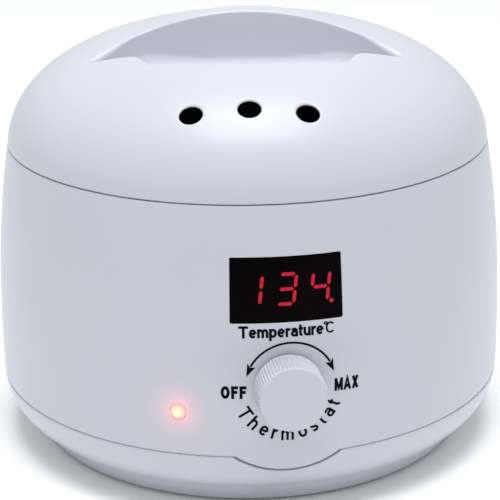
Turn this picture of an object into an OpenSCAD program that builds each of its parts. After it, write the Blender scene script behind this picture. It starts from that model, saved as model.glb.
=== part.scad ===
// Wax warmer pot: a round electric warmer with a lift-off lid and a lift-out pot.
// Millimetres. +Z is up, the control panel faces -Y, and the origin is the middle
// of the base on the surface that the warmer stands on.

/* [Outside shape] */
// Largest diameter of the plastic body
body_d = 165; // [155:1:175]
// Height of the body's top edge
body_h = 97.5; // [95:0.5:100]
// Height of the seam between the base and the upper shell
seam_h = 21; // [20:0.5:23]
// Wall thickness of the plastic shells and the lid
wall = 2.4; // [2:0.1:3]

/* [Lid] */
// Height of the lid's dome above its springing line
dome_h = 41.5; // [38:0.5:44]
// Thickness of the grip bar between the finger scoops
grip_t = 9; // [8:0.5:11]
// Height of the grip bar's crest above the dome
grip_rise = 3.8; // [3:0.1:5]
// Angle that the lid is set down at, away from the panel
lid_turn = -7; // [-20:1:20]
// Diameter of the vents
vent_d = 7; // [5:0.1:8]
// Number of vents
vent_count = 3; // [1:1:5]

/* [Wax pot] */
// Outer diameter of the pot below its rim
pot_d = 110; // [104:1:111]
// Height of the pot from its floor to its rim
pot_h = 59; // [50:1:59]
// Diameter of the bail's wire
bail_wire_d = 3; // [2.5:0.5:3]

/* [Control panel] */
// Height of the knob's axis
knob_z = 43.6; // [42:0.1:46]
// Diameter of the knob
knob_d = 20.4; // [19:0.1:22]
// How far the knob's face stands out from the shell
knob_reach = 10.3; // [10:0.1:12]
// Number of flutes round the knob
flute_count = 60; // [40:1:72]
// Diameter of the thermostat's spindle
spindle_d = 6; // [6:0.5:6]
// Width of the display window
window_w = 33; // [31:0.1:33.6]
// Height of the display window
window_h = 19.6; // [17:0.1:20]
// Height of the window's middle
window_z = 73; // [72:0.1:75]
// Angle of the indicator lamp round the body from the panel's middle
lamp_angle = -22.7; // [-30:0.1:-20]
// Height of the indicator lamp
lamp_z = 35.1; // [33:0.1:40]

/* [Hidden] */
$fn = 96;

eps = 0.01;
body_r = body_d / 2;

// Side of the body: fullest at belly_h, drawn in by an amount that grows to each end.
belly_h = 34;
top_draw = 5.1;
top_power = 2.2;
low_draw = 5.3;
low_power = 4.9;
low_span = 24.3;
function side_r(z) = z > belly_h
    ? body_r - top_draw * pow((z - belly_h) / (body_h - belly_h), top_power)
    : body_r - low_draw * pow((belly_h - z) / low_span, low_power);
// Points up the side from one height to another, set in by a wall thickness
function side(from, to, inset = 0, steps = 8) =
    [for (i = [0:steps]) let (z = from + (to - from) * i / steps) [side_r(z) - inset, z]];

// Base shell
gap = 0.3;
foot_z = 0.8;
foot_r = 69.8;
foot_top_z = 7.2;
foot_top_r = 73.2;
foot_inner_r = 66;
floor_z = 2.2;
floor_top_z = floor_z + wall;
base_top_z = seam_h - 0.15;
shell_bottom_z = seam_h + 0.3;

// Ledge inside the top of the upper shell, which carries the heating well
ledge_top_z = 92.4;
ledge_t = 2.4;
ledge_hole_r = 60.2;
rim_inner_r = side_r(body_h) - wall;

// Round tab of the upper shell below the knob
tab_r = 27.3;
tab_gap = 0.8;
tab_bottom_z = knob_z - tab_r - 0.5;

// Screw posts that hold the base to the upper shell
post_r = 64;
post_angles = [for (i = [0:3]) 40 + 90 * i + (i % 2) * 10];
post_d = 8;
post_top_z = 38;
post_joint_z = 23;
base_screw_d = 3;

// Rubber feet
foot_pad_r = 56;
foot_pad_d = 12;
foot_stem_d = 4;

// Cord gland at the back, with a six-sided neck that keeps it from turning
gland_z = 33.8;
gland_d = 12;
gland_sides = 6;
gland_bore_r = 3.3;

// Control panel
face_y = -body_r;
bush_d = 9.6;
bush_hole_d = 10.2;
pad_d = 16;
pad_y = -78;
bracket_t = 1;
bush_end_y = face_y - 2.8;
nut_af = 12.7;
nut_t = 1.8;
washer_t = 0.5;
knob_gap = 0.6;
knob_cavity_r = 8.2;
knob_cavity_depth = 4.6;
knob_boss_d = 9;
spindle_clear = 0.05;
thermostat_front_y = pad_y + bracket_t;
thermostat_depth = 10.5;

// Display, stacked inwards from the window
module_w = 30.2;
module_h = 14;
module_front_y = -76.3;
module_depth = 7.2;
board_t = 1.6;
display_board_y = module_front_y + module_depth;
display_post_x = 19.5;
lamp_d = 5;

// Heating well and what hangs from it
pot_r = pot_d / 2;
pot_t = 1;
pot_rim_z = 94;
pot_rim_t = 1.2;
pot_rim_r = 60;
pot_floor_z = pot_rim_z + pot_rim_t - pot_h;
well_t = 1.2;
well_r = pot_r + 1.5;
well_flange_r = 69.5;
well_floor_z = pot_floor_z - 1.2;
well_bottom_z = well_floor_z - 1.5;
well_corner_r = 6;
flange_z = ledge_top_z;
flange_top_z = flange_z + well_t;
well_screw_r = 66.7;
well_screw_angles = [90, 210, 330];
stud_r = 40;
stud_angles = [30, 150, 270];
stud_d = 4;
stud_end_z = 22;
disc_z = well_bottom_z - 7;
deflector_z = disc_z - 1.6;
heater_z0 = 46;
heater_z1 = 80;
heater_t = 2.4;
heater_r = well_r + well_t + 0.1;
heater_slot_w = 8;
clamp_angle = 35;
shield_r = 62.3;
shield_t = 0.6;
shield_z0 = 42;
shield_z1 = 82;

// Control board in the base
control_w = 74;
control_l = 46;
control_y = 4;
control_z = 8.6;
control_hole_x = 32;
control_hole_y = 18;
terminal_y = 46;

// Pot ears and bail
ear_x = 59;
ear_t = 1.2;
ear_w = 8.6;
ear_pivot_z = 99.6;
ear_foot_w = 16;
rivet_y = 6;
rivet_d = 2.2;
bail_r = 63.6;
bail_pin_end_x = 57.2;
bail_clear = 0.075;

// Lid
lid_gap = 0.4;
lid_rim_z = body_h + lid_gap;
dome_base_z = body_h - 4.3;
dome_r = side_r(body_h) + 0.2;
dome_power = 2.3;
apex_z = dome_base_z + dome_h;
crest_z = apex_z + grip_rise;
crest_arch_r = 82;
skirt_r = rim_inner_r - 0.8;
skirt_t = 1.8;
skirt_bottom_z = 94.6;
scoop_bowl_r = 32;
scoop_bowl_y = -14;
scoop_bowl_z = crest_z + 12.3;
vent_row_y = -60.9;
vent_pitch = 16.9;
vent_lean = 33;
vent_edge_t = 1;

// Height of the dome's outside at a distance from the axis
function dome_z(r) = dome_base_z + dome_h * pow(1 - pow(r / dome_r, dome_power), 1 / dome_power);
// Points up the dome's outline from a height to its apex, for a dome set in all round
function dome_x(z, inset) = (dome_r - inset)
    * pow(1 - pow(max(0, (z - dome_base_z) / (dome_h - inset)), dome_power), 1 / dome_power);
function dome_side(z0, inset, steps = 12) = let (top = dome_base_z + dome_h - inset)
    [for (i = [0:steps]) i == steps ? [0, top]
        : let (z = z0 + (top - z0) * sin(90 * i / steps)) [dome_x(z, inset), z]];

// Helpers

// A cylinder along -Y from y0 outwards to y1, on the panel's centre line
module along_y(x, y0, y1, z, d) {
    translate([x, y0, z]) rotate([90, 0, 0]) cylinder(d = d, h = y0 - y1);
}

module ring(r_in, r_out, z0, z1) {
    translate([0, 0, z0]) difference() {
        cylinder(r = r_out, h = z1 - z0);
        translate([0, 0, -1]) cylinder(r = r_in, h = z1 - z0 + 2);
    }
}

module box_between(a, b) {
    translate(a) cube(b - a);
}

// Points along an arc about the origin
function arc_points(r, a0, a1, steps) =
    [for (i = [0:steps]) let (a = a0 + (a1 - a0) * i / steps) r * [cos(a), sin(a)]];

// A straight length of wire between two points, a little longer at each end to close the corners
module wire_leg(a, b, d) {
    v = b - a;
    over = 0.3 * d;
    translate(a) rotate([0, acos(v.z / norm(v)), atan2(v.y, v.x)]) translate([0, 0, -over])
        cylinder(d = d, h = norm(v) + 2 * over, $fn = 6);
}

module wire_run(points, d) {
    for (i = [0:len(points) - 2]) wire_leg(points[i], points[i + 1], d);
}

// A pan-head screw pointing down: its head's underside is at the origin
module pan_screw(d, l, head_d, head_h) {
    translate([0, 0, -l]) cylinder(d = d, h = l + eps, $fn = 32);
    difference() {
        cylinder(d = head_d, h = head_h, $fn = 32);
        for (a = [0, 90]) rotate([0, 0, a]) translate([0, 0, head_h])
            cube([head_d * 0.6, head_d * 0.13, head_h], center = true);
    }
}

// Base

module base_profile() {
    polygon(concat(
        [[0, floor_top_z], [0, floor_z], [foot_inner_r, floor_z], [foot_inner_r, foot_z],
         [foot_r - 0.8, foot_z], [foot_r, foot_z + 0.8], [foot_top_r, foot_top_z],
         [side_r(foot_top_z + 0.4), foot_top_z + 0.4]],
        side(foot_top_z + 0.8, base_top_z - 0.5, 0, 9),
        [[side_r(base_top_z) - 0.5, base_top_z]],
        side(base_top_z, foot_top_z + 1.6, wall, 7),
        [[foot_inner_r + 3, floor_top_z]]));
}

module base_shell() {
    color("gainsboro") difference() {
        union() {
            rotate_extrude() base_profile();
            for (a = post_angles) rotate([0, 0, a]) translate([post_r, 0, floor_z])
                cylinder(d = post_d, h = post_joint_z - gap - floor_z);
            for (x = [-1, 1], y = [-1, 1])
                translate([x * control_hole_x, control_y + y * control_hole_y, floor_z])
                    cylinder(d = 6, h = control_z - floor_z);
            translate([-14, terminal_y - 8, floor_z]) cube([28, 16, 6 - floor_z]);
        }
        // Room for the upper shell's tab
        along_y(0, -50, -90, knob_z, 2 * (tab_r + tab_gap));
        for (a = post_angles) rotate([0, 0, a]) translate([post_r, 0, 0]) {
            translate([0, 0, -1]) cylinder(d = 6.4, h = 13);
            cylinder(d = base_screw_d + 0.6, h = 40);
        }
        for (x = [-1, 1], y = [-1, 1])
            translate([x * control_hole_x, control_y + y * control_hole_y, floor_top_z])
                cylinder(d = 2.2, h = 20);
        for (a = [45:90:315]) rotate([0, 0, a])
            translate([foot_pad_r, 0, -1]) cylinder(d = foot_stem_d, h = 20);
        // Cooling slots in the floor
        for (side_x = [-1, 1], i = [-3:3])
            translate([side_x * 46, i * 5 + control_y, 0]) cube([10, 2.4, 20], center = true);
    }
}

module rubber_feet() {
    color("dimgray") for (a = [45:90:315]) rotate([0, 0, a]) translate([foot_pad_r, 0, 0]) {
        cylinder(d1 = foot_pad_d - 1, d2 = foot_pad_d, h = floor_z);
        cylinder(d = foot_stem_d, h = floor_top_z);
        translate([0, 0, floor_top_z]) cylinder(d1 = foot_stem_d + 1.6, d2 = foot_stem_d - 1, h = 1.6);
    }
}

module base_screws() {
    color("silver") for (a = post_angles) rotate([0, 0, a]) translate([post_r, 0, 12])
        mirror([0, 0, 1]) pan_screw(base_screw_d, 22, 5.8, 2);
}

// Upper shell

module upper_profile() {
    edge = 0.8;
    polygon(concat(
        side(tab_bottom_z - 1, body_h - edge, 0, 16),
        [[side_r(body_h) - 0.25, body_h - 0.25], [side_r(body_h) - edge, body_h],
         [rim_inner_r, body_h], [rim_inner_r, ledge_top_z], [ledge_hole_r, ledge_top_z],
         [ledge_hole_r, ledge_top_z - ledge_t]],
        side(ledge_top_z - ledge_t, tab_bottom_z - 1, wall, 14)));
}

module upper_shell() {
    color("aliceblue") difference() {
        union() {
            // The wall ends at the seam, but for the tab below the knob
            difference() {
                rotate_extrude() upper_profile();
                difference() {
                    cylinder(r = body_r + 5, h = shell_bottom_z);
                    along_y(0, -50, -95, knob_z, 2 * tab_r);
                }
            }
            // Posts and their webs
            for (a = post_angles) rotate([0, 0, a]) {
                translate([post_r, 0, post_joint_z]) cylinder(d = post_d, h = post_top_z - post_joint_z);
                translate([post_r, -1.25, post_joint_z])
                    cube([side_r(post_joint_z) - 1 - post_r, 2.5, post_top_z - post_joint_z]);
            }
            for (a = well_screw_angles) rotate([0, 0, a]) translate([well_screw_r, 0, ledge_top_z - 12])
                cylinder(d = 6, h = 12);
            // Flat pad behind the knob and posts behind the window
            along_y(0, pad_y, -81, knob_z, pad_d);
            for (x = [-1, 1]) along_y(x * display_post_x, display_board_y, -77.5, window_z, 5);
        }
        along_y(0, -70, -90, knob_z, bush_hole_d);
        box_between([-window_w / 2, -90, window_z - window_h / 2],
            [window_w / 2, -70, window_z + window_h / 2]);
        rotate([0, 0, lamp_angle]) along_y(0, -70, -90, lamp_z, lamp_d + 0.1);
        translate([0, 70, gland_z]) rotate([-90, 0, 0])
            cylinder(d = gland_d + 0.1, h = 20, $fn = gland_sides);
        for (a = post_angles) rotate([0, 0, a])
            translate([post_r, 0, 0]) cylinder(d = base_screw_d, h = 34.5);
        for (a = well_screw_angles) rotate([0, 0, a]) translate([well_screw_r, 0, ledge_top_z - 10])
            cylinder(d = 2.4, h = 20);
        for (x = [-1, 1]) along_y(x * display_post_x, -60, -76.6, window_z, 2);
    }
}

module cord_gland() {
    lip_y = side_r(gland_z);
    color("dimgray") translate([0, 0, gland_z]) rotate([-90, 0, 0]) difference() {
        union() {
            translate([0, 0, lip_y - wall - 2.5]) cylinder(d = gland_d + 3.4, h = 1.8);
            translate([0, 0, lip_y - wall - 1]) cylinder(d = gland_d, h = wall + 2, $fn = gland_sides);
            translate([0, 0, lip_y]) cylinder(d = gland_d + 4, h = 1.5);
            translate([0, 0, lip_y + 1.5]) cylinder(d1 = gland_d + 4, d2 = gland_d + 1, h = 2);
        }
        cylinder(r = gland_bore_r, h = 100);
    }
}

// Panel

module display_window() {
    trim = 0.1;
    color("black") intersection() {
        rotate_extrude() polygon(concat(
            side(window_z - window_h / 2 - 1, window_z + window_h / 2 + 1, 0.02, 6),
            side(window_z + window_h / 2 + 1, window_z - window_h / 2 - 1, 1.6, 6)));
        box_between([-window_w / 2 + trim, -90, window_z - window_h / 2 + trim],
                    [window_w / 2 - trim, -70, window_z + window_h / 2 - trim]);
    }
}

module display_module() {
    color("darkred") translate([-module_w / 2, module_front_y, window_z - module_h / 2])
        cube([module_w, module_depth, module_h]);
}

module display_board() {
    color("seagreen") difference() {
        translate([-23, display_board_y, window_z - 12]) cube([46, board_t, 24]);
        for (x = [-1, 1]) along_y(x * display_post_x, -60, -76, window_z, 2.6);
    }
}

module display_screws() {
    color("silver") for (x = [-1, 1]) translate([x * display_post_x, display_board_y + board_t, window_z])
        rotate([-90, 0, 0]) pan_screw(1.9, 7, 4.4, 1.5);
}

module indicator_lens() {
    r = lamp_d / 2;
    bulge = 1.1;
    color("tomato") rotate([0, 0, lamp_angle]) translate([0, face_y + 3.4, lamp_z]) rotate([90, 0, 0])
        rotate_extrude() polygon(concat([[0, 0], [r, 0]],
            [for (a = [0:18:72]) [r * cos(a), 3.6 + bulge * sin(a)]], [[0, 3.6 + bulge]]));
}

module indicator_lamp() {
    lamp_y = face_y + 3.4;
    color("white") rotate([0, 0, lamp_angle]) {
        along_y(0, lamp_y + 8, lamp_y, lamp_z, lamp_d + 2);
        for (x = [-1.3, 1.3]) along_y(x, lamp_y + 13, lamp_y + 7, lamp_z, 0.8);
    }
}

// Thermostat

module thermostat_body() {
    color("tan") difference() {
        union() {
            translate([-11, thermostat_front_y, knob_z - 12]) cube([22, thermostat_depth, 24]);
            for (x = [-7, 7]) translate([x - 1.5, thermostat_front_y, knob_z + 11.9])
                cube([3, 0.8, 6]);
        }
        along_y(0, thermostat_front_y + 7, -90, knob_z, spindle_d + 2 * spindle_clear);
    }
}

module thermostat_bracket() {
    color("silver") difference() {
        union() {
            translate([-12, pad_y, knob_z - 13.5]) cube([24, bracket_t, 27]);
            for (x = [-12, 11]) translate([x, pad_y, knob_z - 9]) cube([bracket_t, 6, 18]);
        }
        along_y(0, -70, -90, knob_z, bush_hole_d);
        // Room for the thermostat's block between the two ears
        translate([-11, thermostat_front_y, knob_z - 13]) cube([22, 10, 26]);
    }
}

module thermostat_bush() {
    color("goldenrod") difference() {
        union() {
            along_y(0, thermostat_front_y, bush_end_y, knob_z, bush_d);
        }
        along_y(0, -70, -90, knob_z, spindle_d + 2 * spindle_clear);
    }
}

module thermostat_washer() {
    color("silver") difference() {
        along_y(0, face_y, face_y - washer_t, knob_z, 14.4);
        along_y(0, -70, -90, knob_z, bush_hole_d);
    }
}

module thermostat_nut() {
    color("silver") translate([0, face_y - washer_t, knob_z]) rotate([90, 0, 0]) difference() {
        cylinder(d = nut_af / cos(30), h = nut_t, $fn = 6);
        translate([0, 0, -1]) cylinder(d = bush_d, h = nut_t + 2);
    }
}

module knob() {
    back_y = face_y - knob_gap;
    front_y = face_y - knob_reach;
    flute = 0.5;
    r = knob_d / 2;
    edge = 0.8;
    color("white") translate([0, back_y, knob_z]) rotate([90, 0, 0]) difference() {
        union() {
            linear_extrude(back_y - front_y - edge) polygon([for (i = [0:2 * flute_count - 1])
                let (a = 180 * i / flute_count, q = r - (i % 2) * flute) q * [cos(a), sin(a)]]);
            translate([0, 0, back_y - front_y - edge - 0.1])
                cylinder(r1 = r - flute - 0.1, r2 = r - flute - edge, h = edge + 0.1);
        }
        // Hollow back with a boss for the spindle
        difference() {
            translate([0, 0, -1]) cylinder(r = knob_cavity_r, h = knob_cavity_depth + 1);
            translate([0, 0, 2.9]) cylinder(d = knob_boss_d, h = 10);
        }
        translate([0, 0, -1]) cylinder(d = spindle_d, h = 8.6);
    }
}

module thermostat_spindle() {
    color("silver") along_y(0, thermostat_front_y + 6, face_y - knob_gap - 7.4, knob_z, spindle_d);
}

// Heating well

module well_profile() {
    polygon(concat(
        [[0, well_floor_z]],
        [for (a = [0:15:90]) [well_r - well_corner_r + well_corner_r * sin(a),
                              well_floor_z + well_corner_r - well_corner_r * cos(a)]],
        [[well_r, flange_top_z], [well_flange_r, flange_top_z], [well_flange_r, flange_z],
         [well_r + well_t, flange_z]],
        [for (a = [90:-15:0]) [well_r - well_corner_r + (well_corner_r + well_t) * sin(a),
                               well_floor_z + well_corner_r - (well_corner_r + 1.5) * cos(a)]],
        [[0, well_bottom_z]]));
}

module heating_well() {
    color("silver") {
        difference() {
            rotate_extrude() well_profile();
            for (a = well_screw_angles) rotate([0, 0, a]) translate([well_screw_r, 0, 80])
                cylinder(d = 2.6, h = 20);
        }
        for (a = stud_angles) rotate([0, 0, a]) translate([stud_r, 0, stud_end_z])
            cylinder(d = stud_d, h = well_bottom_z - stud_end_z + 0.5, $fn = 32);
    }
}

module well_screws() {
    color("silver") for (a = well_screw_angles) rotate([0, 0, a])
        translate([well_screw_r, 0, flange_top_z]) pan_screw(2.4, 9, 4.6, 1.2);
}

module heater_slot(w) {
    rotate([0, 0, clamp_angle]) translate([0, -w / 2, 0]) cube([100, w, 200]);
}

module band_heater() {
    color("peru") difference() {
        ring(heater_r, heater_r + heater_t, heater_z0, heater_z1);
        heater_slot(heater_slot_w);
    }
}

module heater_clamp() {
    r = heater_r + heater_t;
    color("silver") {
        difference() {
            ring(r + 0.05, r + 0.85, 57, 69);
            heater_slot(heater_slot_w + 0.6);
        }
        rotate([0, 0, clamp_angle]) for (m = [0, 1]) mirror([0, m, 0]) difference() {
            translate([r + 0.2, heater_slot_w / 2, 58]) cube([8, 1.2, 10]);
            translate([r + 5, 0, 63]) rotate([-90, 0, 0]) cylinder(d = 3.4, h = 20);
        }
    }
}

module clamp_screw() {
    r = heater_r + heater_t;
    color("gray") rotate([0, 0, clamp_angle])
    translate([r + 5, heater_slot_w / 2 + 1.2, 63]) rotate([-90, 0, 0]) {
        pan_screw(3, heater_slot_w + 8, 5.4, 2);
        translate([0, 0, -heater_slot_w - 4.8]) cylinder(d = 6.2, h = 2.4, $fn = 6);
    }
}

module heater_terminals() {
    color("goldenrod") for (a = [-1, 1]) rotate([0, 0, clamp_angle + a * 16])
        translate([heater_r + heater_t, -3, 74]) {
            cube([1, 6, 12]);
            translate([1, 0, 0]) cube([4, 6, 0.8]);
        }
}

module insulation_disc() {
    color("ivory") difference() {
        translate([0, 0, disc_z]) cylinder(r = 50, h = 1.5);
        for (a = stud_angles) rotate([0, 0, a]) translate([stud_r, 0, 0]) cylinder(d = stud_d + 0.4, h = 60);
    }
}

module deflector_plate() {
    color("silver") difference() {
        union() {
            translate([0, 0, deflector_z]) cylinder(r = 54, h = 1.2);
            ring(53, 54, deflector_z - 3, deflector_z + 1);
        }
        for (a = stud_angles) rotate([0, 0, a]) translate([stud_r, 0, 0]) cylinder(d = stud_d + 0.4, h = 60);
    }
}

module stud_nuts() {
    nut_h = 2.6;
    color("gray") for (a = stud_angles) rotate([0, 0, a]) translate([stud_r, 0, deflector_z - nut_h])
        difference() {
            cylinder(d = 8, h = nut_h, $fn = 6);
            translate([0, 0, -1]) cylinder(d = stud_d, h = nut_h + 2);
        }
}

module heat_shield() {
    color("silver") difference() {
        ring(shield_r, shield_r + shield_t, shield_z0, shield_z1);
        // Open at the back for the heater's clamp and terminals
        translate([0, 10, 0]) cube([100, 100, 200]);
        translate([-100, 30, 0]) cube([100.1, 100, 200]);
    }
}

// Parts on the underside of the well: a small cylinder held by a strap
strap_gap = 0.15;

module strapped_sensor(d, l, drop) {
    translate([-l / 2, 0, -drop]) rotate([0, 90, 0]) cylinder(d = d, h = l, $fn = 32);
}

module sensor_strap(d) {
    w = 5;
    drop = d / 2 + strap_gap;
    difference() {
        union() {
            translate([-w / 2, -d / 2 - 5, -0.8]) cube([w, d + 10, 0.8]);
            translate([-w / 2, 0, -drop]) rotate([0, 90, 0]) cylinder(d = d + 1.2, h = w, $fn = 32);
        }
        strapped_sensor(d, 2 * w, drop);
        translate([-w, -20, 0]) cube([2 * w, 40, 10]);
    }
}

fuse_at = [-16, 12, well_bottom_z];
probe_at = [18, -8, well_bottom_z];

module thermal_fuse() {
    color("silver") translate(fuse_at) {
        strapped_sensor(4, 12, 2 + strap_gap);
        strapped_sensor(1.2, 22, 2 + strap_gap);
    }
}

module fuse_clip() {
    color("gray") translate(fuse_at) sensor_strap(4);
}

module temperature_probe() {
    color("white") translate(probe_at) rotate([0, 0, 60]) strapped_sensor(3.6, 16, 1.8 + strap_gap);
}

module probe_clip() {
    color("gray") translate(probe_at) rotate([0, 0, 60]) sensor_strap(3.6);
}

module earth_tag() {
    color("goldenrod") rotate([0, 0, stud_angles[1]]) translate([stud_r, 0, deflector_z - 3.5]) difference() {
        union() {
            cylinder(d = 8, h = 0.8);
            translate([0, -2, 0]) cube([11, 4, 0.8]);
        }
        translate([0, 0, -1]) cylinder(d = stud_d, h = 3);
    }
}

// Control board

module control_board() {
    color("seagreen") difference() {
        translate([-control_w / 2, control_y - control_l / 2, control_z])
            cube([control_w, control_l, board_t]);
        for (x = [-1, 1], y = [-1, 1])
            translate([x * control_hole_x, control_y + y * control_hole_y, 0]) cylinder(d = 2.6, h = 20);
    }
}

module board_screws() {
    color("silver") for (x = [-1, 1], y = [-1, 1])
        translate([x * control_hole_x, control_y + y * control_hole_y, control_z + board_t])
            pan_screw(2.1, 5.5, 4.4, 1.5);
}

module on_board(x, y, size) {
    translate([x, control_y + y, control_z + board_t]) cube(size);
}

module transformer() {
    color("goldenrod") {
        on_board(-22, -12, [18, 20, 9]);
        on_board(-19, -9, [12, 14, 10.5]);
    }
}

module capacitor() {
    color("navy") translate([4, control_y + 12, control_z + board_t + 4]) rotate([0, 90, 0])
        cylinder(d = 8, h = 14);
}

module relay() {
    color("royalblue") on_board(4, -14, [19, 15.5, 10.2]);
}

module terminal_block() {
    color("ivory") difference() {
        translate([-12, terminal_y - 5, 6]) cube([24, 10, 9]);
        for (x = [-8, 0, 8]) {
            translate([x, terminal_y, 9]) cylinder(d = 3.4, h = 10);
            translate([x, terminal_y - 10, 9.5]) rotate([-90, 0, 0]) cylinder(d = 2.4, h = 20);
        }
    }
}

module terminal_screws() {
    color("silver") for (x = [-8, 0, 8]) translate([x, terminal_y, 10.8]) difference() {
        cylinder(d = 3.3, h = 3, $fn = 32);
        translate([0, 0, 3]) cube([4, 0.6, 1.4], center = true);
    }
}

// Mains wires: terminals to board, to the heater, and round to the thermostat
module power_wiring() {
    color("red") {
        wire_run([[-8, 40.2, 9.5], [-8, 34, 14], [-24, 30, 16], [-24, 20, 11.4]], 1.8);
        wire_run([[8, 40.2, 9.5], [8, 36, 16], [40, 34, 20], [57, 24, 22], [64, 26, 40], [67, 27, 70],
                  [64, 22.6, 75.9]], 1.8);
        wire_run([[0, 40.2, 9.5], [0, 36, 18], [-48, 30, 20], [-58, 24, 24], [-69, 6, 40], [-71, -20, 55],
                  [-54, -52, 62], [-26, -70, 64.6], [-9, -72, 64.6], [-7, -74.6, 62.4]], 1.8);
    }
}

// Thin wires: board to the display and to the indicator lamp
module signal_wiring() {
    color("white") {
        wire_run([[30, -20, 11.2], [40, -38, 17], [60, -18, 28], [66, -18, 45], [60, -40, 60], [46, -54, 66],
                  [26, -64.5, 68], [20, -66.4, 68]], 1.4);
        wire_run([[24, -20, 11.2], [28, -40, 18], [8, -58, 20], [-16, -60, 30], [-23.6, -59.6, 35.1]], 1.4);
    }
}

// Wax pot

module wax_pot() {
    corner = 5;
    color("silver") rotate_extrude() polygon(concat(
        [[0, pot_floor_z + pot_t]],
        [for (a = [0:15:90]) [pot_r - pot_t - corner + corner * sin(a),
                              pot_floor_z + pot_t + corner - corner * cos(a)]],
        [[pot_r - pot_t, pot_rim_z + pot_rim_t], [pot_rim_r, pot_rim_z + pot_rim_t],
         [pot_rim_r, pot_rim_z], [pot_r, pot_rim_z]],
        [for (a = [90:-15:0]) [pot_r - pot_t - corner + (corner + pot_t) * sin(a),
                               pot_floor_z + pot_t + corner - (corner + pot_t) * cos(a)]],
        [[0, pot_floor_z]]));
}

module pot_ears() {
    rim_top = pot_rim_z + pot_rim_t;
    color("gray") for (m = [0, 1]) mirror([m, 0, 0]) difference() {
        union() {
            translate([55.2, -ear_foot_w / 2, rim_top]) cube([ear_x + ear_t - 55.2, ear_foot_w, ear_t]);
            translate([ear_x, -ear_w / 2, rim_top]) cube([ear_t, ear_w, ear_pivot_z - rim_top]);
            translate([ear_x, 0, ear_pivot_z]) rotate([0, 90, 0]) cylinder(d = ear_w, h = ear_t);
        }
        translate([50, 0, ear_pivot_z]) rotate([0, 90, 0]) cylinder(d = bail_wire_d + 2 * bail_clear, h = 20);
        for (y = [-1, 1]) translate([57.3, y * rivet_y, 90]) cylinder(d = rivet_d, h = 10);
        // Slot that clears the bail's end
        translate([54, -3.2, rim_top + ear_t]) cube([ear_x - 54, 6.4, 10]);
    }
}

module ear_rivets() {
    rim_top = pot_rim_z + pot_rim_t;
    color("silver") for (x = [-1, 1], y = [-1, 1]) translate([x * 57.3, y * rivet_y, 0]) {
        translate([0, 0, rim_top]) cylinder(d = rivet_d, h = ear_t, $fn = 32);
        translate([0, 0, rim_top + ear_t]) cylinder(d1 = 3.4, d2 = 2, h = 0.9, $fn = 32);
    }
}

module pot_bail() {
    color("silver") translate([0, 0, ear_pivot_z]) {
        rotate_extrude(angle = 180) translate([bail_r, 0]) circle(d = bail_wire_d, $fn = 32);
        for (m = [0, 1]) mirror([m, 0, 0]) {
            translate([bail_r, 0, 0]) sphere(d = bail_wire_d, $fn = 32);
            translate([bail_pin_end_x, 0, 0]) rotate([0, 90, 0])
                cylinder(d = bail_wire_d, h = bail_r - bail_pin_end_x);
            translate([bail_pin_end_x, 0, 0]) rotate([0, 90, 0])
                cylinder(d = bail_wire_d + 1.2, h = 1, $fn = 32);
        }
    }
}

// Lid

// Half the outline of a finger scoop seen from above: straight along the grip bar,
// pointed at its end, and a rounded pocket to the front
scoop_half = [[26, -grip_t / 2], [33.5, -6.2], [36.8, -8.6], [41.1, -13.4], [48, -18.4], [40.6, -21.8],
              [35, -24.2], [32.2, -27], [29.2, -32.6], [25, -35.6], [18, -37.4], [9, -38.6]];
// Half the outline of the rounded thumb scoop behind the grip bar, turned to the front
thumb_half = [[13, -grip_t / 2], [17, -5.7], [20.4, -8.4], [22.3, -12.2], [22.6, -16.5], [21.6, -22],
              [19, -28], [15, -33], [9, -37], [3, -38.7]];

// Outward normal of one side of a clockwise outline
function side_normal(a, b) = [a.y - b.y, b.x - a.x] / norm(b - a);

// A clockwise outline grown by e, with mitred corners
function grown(points, e) = let (n = len(points)) [for (i = [0:n - 1])
    let (before = side_normal(points[(i + n - 1) % n], points[i]),
         after = side_normal(points[i], points[(i + 1) % n]))
    points[i] + e * (before + after) / (1 + before * after)];

module scoop_outline(e, half) {
    polygon(grown(concat(half, [for (i = [len(half) - 1:-1:0]) [-half[i].x, half[i].y]]), e));
}

// The wide scoop in front of the grip bar, and the narrow one for the thumb behind it
module scoop_pair(e) {
    for (a = [0, 180]) rotate([0, 0, a]) intersection() {
        translate([0, 0, apex_z - 30]) linear_extrude(60) scoop_outline(e, a == 0 ? scoop_half : thumb_half);
        translate([-60, scoop_bowl_y, scoop_bowl_z]) rotate([90, 0, 90]) linear_extrude(120)
            polygon(concat([[60, 0], [-60, 0]], arc_points(scoop_bowl_r + e, 185, 355, 16)));
    }
}

// Stands on the dome where a vent opens, looking straight out of it
module at_vent(i) {
    x = (i - (vent_count - 1) / 2) * vent_pitch;
    translate([x, vent_row_y, dome_z(norm([x, vent_row_y]))]) rotate([vent_lean, 0, 0]) children();
}

module lid_shell() {
    color("ghostwhite") rotate([0, 0, lid_turn]) difference() {
        union() {
            rotate_extrude() polygon(concat([[0, lid_rim_z]], dome_side(lid_rim_z, 0)));
            // Grip bar with an arched crest
            translate([0, grip_t / 2, crest_z - crest_arch_r]) rotate([90, 0, 0]) linear_extrude(grip_t)
                polygon(concat([[0, crest_arch_r - 20]], arc_points(crest_arch_r, 64, 116, 12)));
            ring(skirt_r - skirt_t, skirt_r, skirt_bottom_z, lid_rim_z + 3);
        }
        scoop_pair(0);
        // Hollow inside, which follows the scoops at wall thickness
        difference() {
            rotate_extrude() polygon(concat(
                [[0, skirt_bottom_z - 1], [skirt_r - skirt_t, skirt_bottom_z - 1],
                    [skirt_r - skirt_t, lid_rim_z + 1.6]],
                dome_side(lid_rim_z + 1.7, wall)));
            scoop_pair(wall);
        }
        // Vents, relieved behind a thin edge
        for (i = [0:vent_count - 1]) at_vent(i) {
            cylinder(d = vent_d, h = 12, center = true);
            translate([0, 0, -vent_edge_t - 6]) cylinder(d = vent_d + 3, h = 6);
        }
    }
}

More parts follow.
